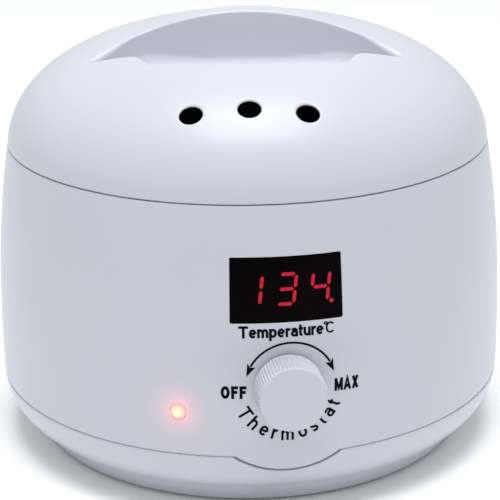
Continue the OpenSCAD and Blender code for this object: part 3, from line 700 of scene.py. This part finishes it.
def both_halves(half):
    """A closed outline from its half at x >= 0, which starts and ends on the axis."""
    return np.array(half + [(-x, y) for x, y in half[1:-1]][::-1])


def scoop_outline():
    """Outline of the front finger scoop seen from above: straight along the grip bar, pointed ends."""
    straight = [(x, BAR_SIDE) for x in np.linspace(0, 26, 23)[:-1]]
    behind = curve([(26, BAR_SIDE), (30, -4.9), (33.5, -6.2), (36.8, -8.6), (41.1, -13.4), (45.6, -17),
                    (48, -18.4)], (1, 0), (2.4, -1.4))
    front = curve([(48, -18.4), (44, -20.3), (40.6, -21.8), (37, -23.2), (34.3, -24.6), (32.4, -26.6),
                   (31, -29.4), (29.2, -32.6), (26.2, -35), (20, -37), (10, -38.6), (0, -39)],
                  (-4, -1.9), (-1, 0))
    return both_halves(straight + behind[:-1].tolist() + front.tolist())


def thumb_outline():
    """Outline of the rounded thumb scoop behind the grip bar, turned to the front."""
    straight = [(x, BAR_SIDE) for x in np.linspace(0, 13, 12)[:-1]]
    round_end = curve([(13, BAR_SIDE), (17, -5.6), (20.4, -8.4), (22.3, -12.2), (22.6, -16.5), (21.6, -22),
                       (19, -28), (15, -33), (9, -37), (0, -38.9)], (1, 0), (-1, 0))
    return both_halves(straight + round_end.tolist())


SCOOP, THUMB = scoop_outline(), thumb_outline()


def smooth_max(a, b, k):
    """The larger of two values, blended where they differ by less than k."""
    h = np.clip(0.5 + 0.5 * (a - b) / k, 0, 1)
    return b + (a - b) * h + k * h * (1 - h)


def lid_height(x, y):
    """Height of the lid's top over a point of its plan."""
    plain = dome(np.hypot(x, y))
    ay = -np.abs(y)
    # The grip bar's crest is an arch over the dome, which fades out in front of it and behind it
    arch = CREST - ARCH_R + np.sqrt(np.maximum(ARCH_R ** 2 - x * x, 0))
    on_bar = 1 / (1 + np.exp(np.where(y < 0, (-y - 7.5) * 3, (y - 9.5) * 0.9)))
    top = plain + (smooth_max(plain, arch, 1.6) - plain) * on_bar
    # How deep inside its scoop a point lies
    p = np.stack([x, ay], 1)
    sd = np.empty(len(p))
    for share, outline in ((y <= 0, SCOOP), (y > 0, THUMB)):
        if share.any():
            near = loop_distance(p[share], outline)
            sd[share] = np.where(inside(p[share], outline), near, -near)
    # The scoop's edge is rounded less beside the bar than away from it
    beside_bar = np.clip((ay + 16) / 8, 0, 1)
    edge_r = 0.9 * beside_bar + 2.6 * (1 - beside_bar)
    lip = top - rounding(np.maximum(-sd, 0), edge_r)
    # Inside it, a steep wall runs down into a bowl
    bowl = SCOOP_Z - np.sqrt(np.maximum(SCOOP_R ** 2 - (ay - SCOOP_Y) ** 2, 0))
    bowl += rounding(np.maximum(sd, 0), 9.0) * beside_bar
    wall = top - edge_r - np.maximum(sd, 0) * 9.0
    pocket = np.minimum(smooth_max(wall, bowl, 1.4), top - edge_r * 0.999)
    return np.where(sd > 0, pocket, lip)


def vent_loop(place, r, inset=0.0):
    """Where a vent's cylinder, leaning outwards, meets the dome set in by an inset: points in 3D.
    place is the vent's place in the row, -1 to 1."""
    across = np.array([1, 0, 0.0])
    along = np.array([0, math.cos(VENT_LEAN), math.sin(VENT_LEAN)])
    axis = np.array([0, -math.sin(VENT_LEAN), math.cos(VENT_LEAN)])
    x = place * VENT_PITCH
    c = circle2(r, VENT_SIDES)
    base = (x, -VENT_ROW, float(dome(math.hypot(x, VENT_ROW)))) + c[:, :1] * across + c[:, 1:] * along
    t = np.zeros(VENT_SIDES)
    for _ in range(40):
        p = base + t[:, None] * axis
        t += (dome(np.hypot(p[:, 0], p[:, 1]), inset) - p[:, 2]) * 0.6
    return base + t[:, None] * axis


EDGE_R = 72.0  # inside this the lid is laid out in plan, and outside it the lid is turned
VENTS = (-1, 0, 1)
VENT_ROUND = 0.5
VENT_OFFSETS = (0.0, 0.04, 0.12, 0.25, 0.5, 0.9)  # rings of points round a vent
INWARDS = (0.12, 0.25, 0.4, 0.6, 0.8, 1.0, 1.2, 1.45, 1.8, 2.3, 3.0)  # lines of points beside a scoop's edge
OUTWARDS = (0.03, 0.1, 0.25, 0.45, 0.7, 0.9, 1.2, 1.7, 2.2, 2.6, 3.2)


def lid_points(under=False):
    """The lid's points in plan, the loops kept as edges, its outline and its vents."""
    outer = circle2(EDGE_R, 240)
    pieces = [(outer, True)]
    inset, vent_r, offsets = 0.0, VENT_D / 2, VENT_OFFSETS
    if under:
        inset, vent_r, offsets = WALL, VENT_D / 2 + VENT_RELIEF, VENT_OFFSETS[:1]
    vents = []
    for place in VENTS:
        rings = [vent_loop(place, vent_r + e, inset)[:, :2] for e in offsets]
        pieces += [(p, True) for p in rings]
        vents.append(rings[0])
    for sign, outline in ((1, SCOOP), (-1, THUMB)):
        flip = np.array([1, sign])
        tangent = np.roll(outline, -1, axis=0) - np.roll(outline, 1, axis=0)
        nor = unit(np.stack([tangent[:, 1], -tangent[:, 0]], 1))  # inwards
        pieces.append((outline * flip, True))
        for d in INWARDS + tuple(-d for d in OUTWARDS):
            q = outline + nor * d
            near = loop_distance(q, outline)
            ok = (near > abs(d) * 0.97) & (inside(q, outline) == (d > 0))
            if d < 0:
                ok &= (q[:, 1] < -0.4)
            pieces.append((q[ok] * flip, False))
    m = int(EDGE_R / 1.9) + 1
    xs = np.arange(-m, m + 1) * 1.9
    fill = np.stack(np.meshgrid(xs, xs, indexing="ij"), -1).reshape(-1, 2)
    fill[:, 1] += 0.37
    fill = fill[np.hypot(fill[:, 0], fill[:, 1]) < EDGE_R - 1.2]
    kept = []
    for side, outline in ((fill[:, 1] <= 0, SCOOP), (fill[:, 1] > 0, THUMB * (1, -1))):
        part = fill[side]
        kept.append(part[loop_distance(part, outline) > np.where(inside(part, outline), 3.6, 3.9)])
    fill = np.vstack(kept)
    for v in vents:
        centre = v.mean(0)
        fill = fill[np.hypot(fill[:, 0] - centre[0], fill[:, 1] - centre[1]) > vent_r + 1.9]
    return *gather(pieces + [(fill, False)]), outer, vents


def vented(points):
    """The lid's top, rounded down at the vents' edges."""
    x, y = points[:, 0], points[:, 1]
    v = np.stack([x, y, lid_height(x, y)], 1)
    for loop in top_vents:
        centre = loop.mean(0)
        close = np.hypot(x - centre[0], y - centre[1]) < VENT_D / 2 + 1.5
        if close.any():
            d = loop_distance(points[close], loop)
            v[close, 2] -= rounding(d, VENT_ROUND) * 0.8
    return v


pts, loops, outer, top_vents = lid_points()
vs, tris = triangulate(pts, loops, outer, top_vents)
parts = [surface(vented, vs, tris, h=0.03)]


def under_func(points):
    """The lid's underside, a wall below its top and its scoops."""
    x, y = points[:, 0], points[:, 1]
    z = np.minimum(dome(np.hypot(x, y), WALL), lid_height(x, y) - WALL)
    return np.stack([x, y, z], 1)


pts, loops, outer, low_vents = lid_points(under=True)
vs, tris = triangulate(pts, loops, outer, low_vents)
parts.append(surface(under_func, vs, tris, flip=True, h=0.03))
for place in VENTS:
    mouth = vented(vent_loop(place, VENT_D / 2)[:, :2])
    edge_in = vent_loop(place, VENT_D / 2, VENT_EDGE)
    edge_out = vent_loop(place, VENT_D / 2 + VENT_RELIEF, VENT_EDGE)
    low = vent_loop(place, VENT_D / 2 + VENT_RELIEF, WALL)
    parts += [ring(mouth, edge_in), ring(edge_in, edge_out), ring(edge_out, low)]

z_at = float(dome(EDGE_R))


def dome_radius(z, inset=0.0):
    """The dome's radius at a height."""
    t = np.clip((z - DOME_Z) / (DOME_H - inset), 0, 1)
    return (DOME_R - inset) * (1 - t ** DOME_P) ** (1 / DOME_P)


EDGE = 0.35  # rounding of the lid's lower edge
zs = z_at - (z_at - LID_RIM - EDGE) * np.linspace(0, 1, 26)
outside_run = [(float(dome_radius(z)), z) for z in (z_at + 0.05, *zs)]
outside_run += arc2(float(dome_radius(LID_RIM + EDGE)) - EDGE, LID_RIM + EDGE, EDGE, 0, -90, 6)[1:]
z_in = float(dome(EDGE_R, WALL))
zs_in = np.linspace(LID_RIM + 1.7, z_in, 16)
inside_run = [(float(dome_radius(z, WALL)), z) for z in (*zs_in, z_in + 0.05)]
SKIRT_R, SKIRT_IN_R, SKIRT_Z, SKIRT_ROUND = 74.2, 72.4, 94.6, 0.4
BEAD = LID_RIM - 0.3  # a bead that closes the gap a little way in from the lid's edge
BEAD_IN, BEAD_OUT, RIM_IN = 75.4, 76.65, 77.1
out_corner = arc2(SKIRT_R - SKIRT_ROUND, SKIRT_Z + SKIRT_ROUND, SKIRT_ROUND, -90, 0, 4)
in_corner = arc2(SKIRT_IN_R + SKIRT_ROUND, SKIRT_Z + SKIRT_ROUND, SKIRT_ROUND, 180, 270, 4)
skirt_top = (SKIRT_IN_R, LID_RIM + 1.7)
runs = [outside_run[::-1], [(SKIRT_R, LID_RIM), (BEAD_IN, LID_RIM)], [(BEAD_IN, LID_RIM), (BEAD_IN, BEAD)],
        [(BEAD_IN, BEAD), (BEAD_OUT, BEAD)], [(BEAD_OUT, BEAD), (BEAD_OUT, LID_RIM)],
        [(BEAD_OUT, LID_RIM), (RIM_IN, LID_RIM)], out_corner + [(SKIRT_R, LID_RIM)],
        [in_corner[-1], out_corner[0]], [skirt_top] + in_corner, inside_run[::-1] + [skirt_top]]
parts.append(revolve(runs))
v, f, n = join(parts)
ca, sa = math.cos(LID_TURN), math.sin(LID_TURN)
turn = np.array([[ca, -sa, 0], [sa, ca, 0], [0, 0, 1]])
lid = make("lid_skin", v @ turn.T, f, n @ turn.T, "lid")
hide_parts("lid_shell")
wear(lid, "white_plastic")

# ---- knob

KNOB_BACK, KNOB_LENGTH = -BODY_R - 0.6, 9.7
FLUTES, PER = 60, 10  # the number of flutes, and of points across each
FLUTE_DEPTH = 0.5
edge_start = KNOB_LENGTH - KNOB_EDGE  # along the outline, where the rounded edge starts and ends
edge_end = edge_start + KNOB_EDGE * math.pi / 2


def knob_func(points):
    """Points over (turn, way along the outline): up the fluted side, round the edge, in over the face."""
    th, t = points[:, 0], points[:, 1]
    ang = np.clip((t - edge_start) / KNOB_EDGE, 0, math.pi / 2)
    face_r = KNOB_R - KNOB_EDGE
    places = [t < edge_start, t < edge_end]
    r = np.select(places, [KNOB_R, face_r + KNOB_EDGE * np.cos(ang)], face_r - (t - edge_end))
    out = np.select(places, [t, edge_start + KNOB_EDGE * np.sin(ang)], KNOB_LENGTH)
    fade = np.clip(1 - (t - edge_start) / (KNOB_EDGE * 1.15), 0, 1)
    wave = 0.5 - 0.5 * np.cos(th * FLUTES)
    r = r - FLUTE_DEPTH * (1 - wave ** 0.7) * fade * np.clip(t / 0.3, 0, 1)
    r = np.maximum(r, 0.001)
    return np.stack([r * np.cos(th), KNOB_BACK - out, KNOB_Z + r * np.sin(th)], 1)


def structured(func, us, ts):
    """The mesh of a function of two numbers, the first of which goes all the way round."""
    nu, nt = len(us), len(ts)
    p = np.stack(np.meshgrid(us, ts, indexing="ij"), -1).reshape(-1, 2)
    du, dv = np.array([1e-4, 0]), np.array([0, 1e-3])
    n = unit(np.cross(func(p + du) - func(p - du), func(p + dv) - func(p - dv)))
    faces = []
    for i in range(nu):
        j = (i + 1) % nu
        for k in range(nt - 1):
            faces.append([i * nt + k, j * nt + k, j * nt + k + 1, i * nt + k + 1])
    return func(p), faces, n


ts = np.concatenate([[0, 0.15, 0.3], np.linspace(1.0, edge_start - 0.05, 7),
                     np.linspace(edge_start, edge_end, 9),
                     edge_end + np.array([0.05, 0.5, 2, 4, 6, 8, 9.29])])
us = np.arange(FLUTES * PER) * 2 * math.pi / (FLUTES * PER)
# Its hollow back and the boss for the spindle
HOLLOW_R, BOSS_R, BORE_R = 8.2, 4.5, 3.0
HOLLOW_DEPTH, BOSS_START, BORE_END = 4.6, 2.9, 7.6
corners = [(10.0, 0), (HOLLOW_R, 0), (HOLLOW_R, HOLLOW_DEPTH), (BOSS_R, HOLLOW_DEPTH), (BOSS_R, BOSS_START),
           (BORE_R, BOSS_START), (BORE_R, BORE_END), (0.01, BORE_END)]
cavity = revolve(list(zip(corners, corners[1:])), 96)


def to_axis(part):
    """A revolved part, made about +Z, laid along -Y from the knob's back."""
    v, f, n = part
    v = np.stack([v[:, 0], KNOB_BACK - v[:, 2], KNOB_Z + v[:, 1]], 1)
    n = np.stack([n[:, 0], -n[:, 2], n[:, 1]], 1)
    return v, f, n


knob = make("knob_cap", *join([structured(knob_func, us, ts), to_axis(cavity)]), "knob")
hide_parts("knob")
wear(knob, "white_plastic")

# ---- window, digits and lamp


def plate(name, loop_of, lift, thick, edge, slot):
    """A thin panel that lies in the body's curve, with a rounded edge."""
    rings = [loop_of(-e) for e in (0.0, edge * 0.1, edge * 0.35, edge * 0.7, edge, edge * 2)]
    loop0 = rings[0]
    (left, low), (right, high) = loop0.min(0), loop0.max(0)
    fill = grid(left, right, low, high, 1.4, 1.4)
    fill = fill[inside(fill, rings[-1])]
    fill = fill[loop_distance(fill, rings[-1]) > 0.7]
    vs, tris = triangulate(*gather([(p, True) for p in rings] + [(fill, False)]), loop0, [])

    def func(p):
        return hull(p) + hull_normal(p) * (lift - rounding(loop_distance(p, loop0), edge))[:, None]

    top = surface(func, vs, tris)
    wall = skirt_down(func(loop0), -hull_normal(loop0), thick - edge, 1)
    obj = make(name, *join([top, wall]))
    wear(obj, slot)
    return obj


def window_loop(e):
    """The window's outline in the panel plane, grown by e."""
    return round_rect(WIN_W / 2 + 0.32 + e, WIN_H / 2 - 0.1 + e, 0.55 + e) + (0, WIN_Z)


window = plate("display_window_panel", window_loop, -0.06, 1.5, 0.2, "dark_window")
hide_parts("display_window")


def on_body(x, z, lift):
    """A point of the flat artwork, carried straight back on to the body."""
    r = side_r(z)
    y = -np.sqrt(np.maximum(r * r - x * x, 0))
    n = unit(np.stack([x, y, np.zeros_like(x)], 1))
    return np.stack([x, y, z], 1) + n * lift


def segment_digit(digit, cx, cz, w, h, t, slant):
    """The lit bars of one seven-segment digit, as pointed bars in a plane."""
    lit = {"1": "bc", "3": "abcdg", "4": "bcfg"}[digit]
    gap = 0.32  # between a bar's point and the corner
    hw, hh = w / 2, h / 2
    bars = {"a": ((-hw, hh), (hw, hh)), "g": ((-hw, 0), (hw, 0)), "d": ((-hw, -hh), (hw, -hh)),
            "b": ((hw, hh), (hw, 0)), "c": ((hw, 0), (hw, -hh)), "f": ((-hw, hh), (-hw, 0))}
    out = []
    for key in lit:
        a, b = np.array(bars[key], float)
        d = unit(b - a)
        s = np.array([-d[1], d[0]])
        a, b = a + d * gap, b - d * gap
        k = t / 2
        shape = [a, a + d * k + s * k, b - d * k + s * k, b, b - d * k - s * k, a + d * k - s * k]
        out.append([(p[0] + p[1] * slant + cx, p[1] + cz) for p in shape])
    return out


def artwork(name, shapes, thick, slot):
    """Flat shapes let into the body as thin prints."""
    groups = []
    for shape in shapes:
        p = np.array(shape)
        area = 0.5 * np.sum(p[:, 0] * np.roll(p[:, 1], -1) - np.roll(p[:, 0], -1) * p[:, 1])
        if area < 0:
            p = p[::-1]
        m = len(p)
        v = np.vstack([on_body(p[:, 0], p[:, 1], lift) for lift in (0.0, -thick)])
        groups.append((v, [list(range(m))] + [[i, m + i, m + (i + 1) % m, (i + 1) % m] for i in range(m)]))
    wear(bare(name, *merge(groups)), slot)


digits = []
for ch, x in (("1", -9.9), ("3", 0.0), ("4", 9.9)):
    digits += segment_digit(ch, x, WIN_Z + 0.2, 4.9, 8.8, 1.02, 0.12)
dot = bow(13.2, WIN_Z - 4.3, 0.65, 0.6, 0, 360, 16)[:-1]
artwork("display_digits", digits + [dot], 0.06, "display_red")


def lens_func(points):
    """Points over (turn, way along the outline): a straight side, then the bulge. The axis is y."""
    th, t = points[:, 0], points[:, 1]
    a = np.clip(t, 0, 1) * math.pi / 2
    r = np.where(t < 0, LAMP_R, np.maximum(LAMP_R * np.cos(a), 0.001))
    out = np.where(t < 0, t * WALL, LAMP_BULGE * np.sin(a))
    return np.stack([r * np.cos(th), out, r * np.sin(th)], 1)


lv, lf, ln = structured(lens_func, np.arange(48) * 2 * math.pi / 48,
                        np.array([-1, 0, 0.1, 0.2, 0.35, 0.5, 0.65, 0.8, 0.92, 1.0]))
# The lens points along the body's radius at the lamp's angle, front being -Y, which mirrors it
ca, sa = math.cos(LAMP_A), math.sin(LAMP_A)
to_lamp = np.array([[ca, sa, 0], [sa, -ca, 0], [0, 0, 1]])
lens = make("indicator_lens_dome", (lv + (0, lamp_r, 0)) @ to_lamp.T + (0, 0, LAMP_Z), lf, -ln @ to_lamp.T)
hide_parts("indicator_lens")
wear(lens, "lamp_red")

# ---- printed marks


def glyph(ch, w):
    """A plain letter as centre-lines, capitals 1 high: (width, lines). w is the stroke's width."""
    s, xh = w / 2, 0.74
    e = s + 0.24
    if ch == "T":
        return 0.74, [[(0, 1 - s), (0.74, 1 - s)], [(0.37, 0), (0.37, 1 - s)]]
    if ch == "F":
        return 0.56, [[(s, 0), (s, 1)], [(s, 1 - s), (0.56, 1 - s)], [(s, 0.52), (0.5, 0.52)]]
    if ch == "O":
        return 0.72, [bow(0.36, 0.5, 0.36 - s, 0.5 - s, 0, 360, 32)]
    if ch == "C":
        return 0.76, [bow(0.38, 0.5, 0.38 - s, 0.5 - s, 42, 318, 24)]
    if ch == "M":
        return 0.84, [[(s, 0), (s, 1)], [(0.84 - s, 0), (0.84 - s, 1)],
                      [(s, 0.97), (0.42, 0.2), (0.84 - s, 0.97)]]
    if ch == "A":
        return 0.76, [[(s * 0.9, 0), (0.38, 0.95), (0.76 - s * 0.9, 0)], [(0.2, 0.3), (0.56, 0.3)]]
    if ch == "X":
        return 0.72, [[(s * 1.1, 0), (0.72 - s * 1.1, 1)], [(s * 1.1, 1), (0.72 - s * 1.1, 0)]]
    if ch == "h":
        return 0.56, [[(s, 0), (s, 1)], bow(0.28, xh - e, 0.28 - s, 0.24, 180, 0) + [(0.56 - s, 0)]]
    if ch == "m":
        q = (0.86 - 2 * s) / 4
        return 0.86, [[(s, 0), (s, xh)], bow(s + q, xh - e, q, 0.24, 180, 0) + [(s + 2 * q, 0)],
                      bow(s + 3 * q, xh - e, q, 0.24, 180, 0) + [(s + 4 * q, 0)]]
    if ch == "r":
        return 0.36, [[(s, 0), (s, xh)], bow(s + 0.26, xh - e, 0.26, 0.24, 180, 85)]
    if ch == "e":
        return 0.58, [[(s, xh / 2), (0.58 - s, xh / 2)], bow(0.29, xh / 2, 0.29 - s, xh / 2 - s, 0, 318, 24)]
    if ch == "o":
        return 0.6, [bow(0.3, xh / 2, 0.3 - s, xh / 2 - s, 0, 360, 28)]
    if ch == "s":
        q = (xh - 2 * s) / 4
        top = bow(0.25, xh - s - q, 0.25 - s, q, 20, 270, 18)
        return 0.5, [top + bow(0.25, s + q, 0.25 - s, q, 90, -160, 18)[1:]]
    if ch == "t":
        return 0.34, [[(0.15, 0.95), (0.15, s + 0.14)] + bow(0.29, s + 0.14, 0.14, 0.14, 180, 275, 8)[1:],
                      [(0, xh - s), (0.34, xh - s)]]
    if ch == "a":
        return 0.56, [bow(0.28, xh - s - 0.2, 0.28 - s, 0.2, 155, 0, 14) + [(0.56 - s, 0)],
                      bow(0.28, s + 0.17, 0.28 - s, 0.17, 0, 360, 24)]
    if ch == "p":
        return 0.6, [[(s, -0.27), (s, xh)], bow(0.3, xh / 2, 0.3 - s, xh / 2 - s, 0, 360, 28)]
    if ch == "u":
        return 0.56, [[(s, xh)] + bow(0.28, e, 0.28 - s, 0.24, 180, 360), [(0.56 - s, 0), (0.56 - s, xh)]]
    return 0.24, [bow(0.12, 0.88, 0.09, 0.09, 0, 360, 16)]  # a degree sign


def stroke(line, w):
    """A centre-line as a strip of its width, in a plane."""
    p = np.array(line, float)
    closed = len(p) > 3 and np.allclose(p[0], p[-1])
    seg = unit(np.diff(p, axis=0))
    before = np.vstack([seg[-1:] if closed else seg[:1], seg])
    after = np.vstack([seg, seg[:1] if closed else seg[-1:]])
    mean = unit(before + after)
    nor = np.stack([-mean[:, 1], mean[:, 0]], 1)
    seg_n = np.stack([-after[:, 1], after[:, 0]], 1)
    reach = 1 / np.clip(np.sum(nor * seg_n, 1), 0.45, 1)
    left, right = p + nor * (w / 2 * reach)[:, None], p - nor * (w / 2 * reach)[:, None]
    m = len(p)
    return np.vstack([left, right]), [[i + 1, i, m + i, m + i + 1] for i in range(m - 1)]


def letter(ch, w):
    """A letter's width, and its strips as one."""
    width, lines = glyph(ch, w)
    return width, *merge([stroke(line, w * (0.6 if ch == "\u00b0" else 1)) for line in lines])


def print_mark(name, groups):
    """Groups of (points in the panel plane, faces) laid on the body as one printed mark."""
    p, faces = merge(groups)
    obj = bare(name, on_body(p[:, 0], p[:, 1], 0.05), faces)
    obj.data.materials.append(mats["printed_ink"])


def straight(text, cx, cz, height, width, weight, gap=0.12):
    """A line of letters centred at (cx, cz), stretched to a width in mm."""
    groups, at = [], 0.0
    for ch in text:
        wide, v, f = letter(ch, weight)
        groups.append((v + (at, 0), f))
        at += wide + gap
    total = at - gap
    return [((v - (total / 2, 0.5)) * (width / total, height) + (cx, cz), f) for v, f in groups]


print_mark("mark_off", straight("OFF", -15.9, 42.0, 4.0, 7.4, 0.24))
print_mark("mark_max", straight("MAX", 17.7, 42.5, 4.0, 7.5, 0.25, 0.06))
print_mark("mark_temperature", straight("Temperature", -1.75, 60.65, 3.7, 24.9, 0.2, 0.04)
           + straight("\u00b0", 11.3, 60.65, 3.7, 1.1, 0.17) + straight("C", 12.75, 60.65, 3.5, 2.9, 0.15))

word, weight, tall = "Thermostat", 0.165, 4.4
RADIUS, FIRST, LAST = 15.1, rad(-57), rad(64)
made = [letter(ch, weight) for ch in word]
middles, at = [], 0.0
for wide, _, _ in made:
    middles.append(at + wide / 2)
    at += wide + 0.2
groups = []
for (wide, v, f), m in zip(made, middles):
    a = FIRST + (LAST - FIRST) * (m - middles[0]) / (middles[-1] - middles[0])
    v = (v - (wide / 2, 0.5)) * tall
    ca, sa = math.cos(a), math.sin(a)
    q = np.stack([v[:, 0] * ca - v[:, 1] * sa + RADIUS * sa, v[:, 0] * sa + v[:, 1] * ca - RADIUS * ca], 1)
    groups.append((q + (0, KNOB_Z), f))
print_mark("mark_thermostat", groups)


def arrow_arc():
    """A curved line over the knob with a head at each end."""
    r, w, head = 13.4, 0.62, 1.35
    tip, base = rad(14.4), rad(31)
    a = np.linspace(rad(29), rad(151), 41)
    v = np.vstack([np.stack([q * np.cos(a), q * np.sin(a)], 1) for q in (r + w / 2, r - w / 2)])
    m = len(a)
    groups = [(v, [[m + i, m + i + 1, i + 1, i] for i in range(m - 1)])]
    for s in (1, -1):
        corners = ((r, tip), (r + head, base), (r, base - 0.06), (r - head, base))
        v = np.array([(s * q * math.cos(turn), q * math.sin(turn)) for q, turn in corners])
        f = [[0, 1, 2], [0, 2, 3]]
        groups.append((v, f if s > 0 else [q[::-1] for q in f]))
    return [(v + (0.8, KNOB_Z), f) for v, f in groups]


print_mark("mark_arrow", arrow_arc())

# ---- floor, world and light

floor_mesh = bpy.data.meshes.new("floor")
floor_mesh.from_pydata([(-6, -6, 0), (6, -6, 0), (6, 6, 0), (-6, 6, 0)], [], [(0, 1, 2, 3)])
floor = placed("floor", floor_mesh)
floor.data.materials.append(mats["pale_floor"])

world = bpy.data.worlds.new("world")
scene.world = world
world.use_nodes = True
world.node_tree.nodes["Background"].inputs["Color"].default_value = (0.97, 0.985, 1.0, 1)
world.node_tree.nodes["Background"].inputs["Strength"].default_value = 0.66

place, aim = Vector((0.0, -0.12, 1.1)), Vector((0, 0, 0.1))
top_data = bpy.data.lights.new("top_light", "AREA")
top_data.shape = "RECTANGLE"
top_data.size = top_data.size_y = 0.62
top_data.energy = 10
top_light = placed("top_light", top_data)
top_light.location = place
top_light.rotation_mode = "QUATERNION"
top_light.rotation_quaternion = (aim - place).to_track_quat("-Z", "Y")

glow_data = bpy.data.lights.new("lamp_glow", "POINT")
glow_data.energy = 0.0011
glow_data.color = (1.0, 0.12, 0.1)
glow_data.shadow_soft_size = 0.002
lamp_glow = placed("lamp_glow", glow_data)
lamp_glow.location = [c * MM for c in before_lamp(4.5)]

scene.view_settings.view_transform = "Standard"
scene.view_settings.look = "None"
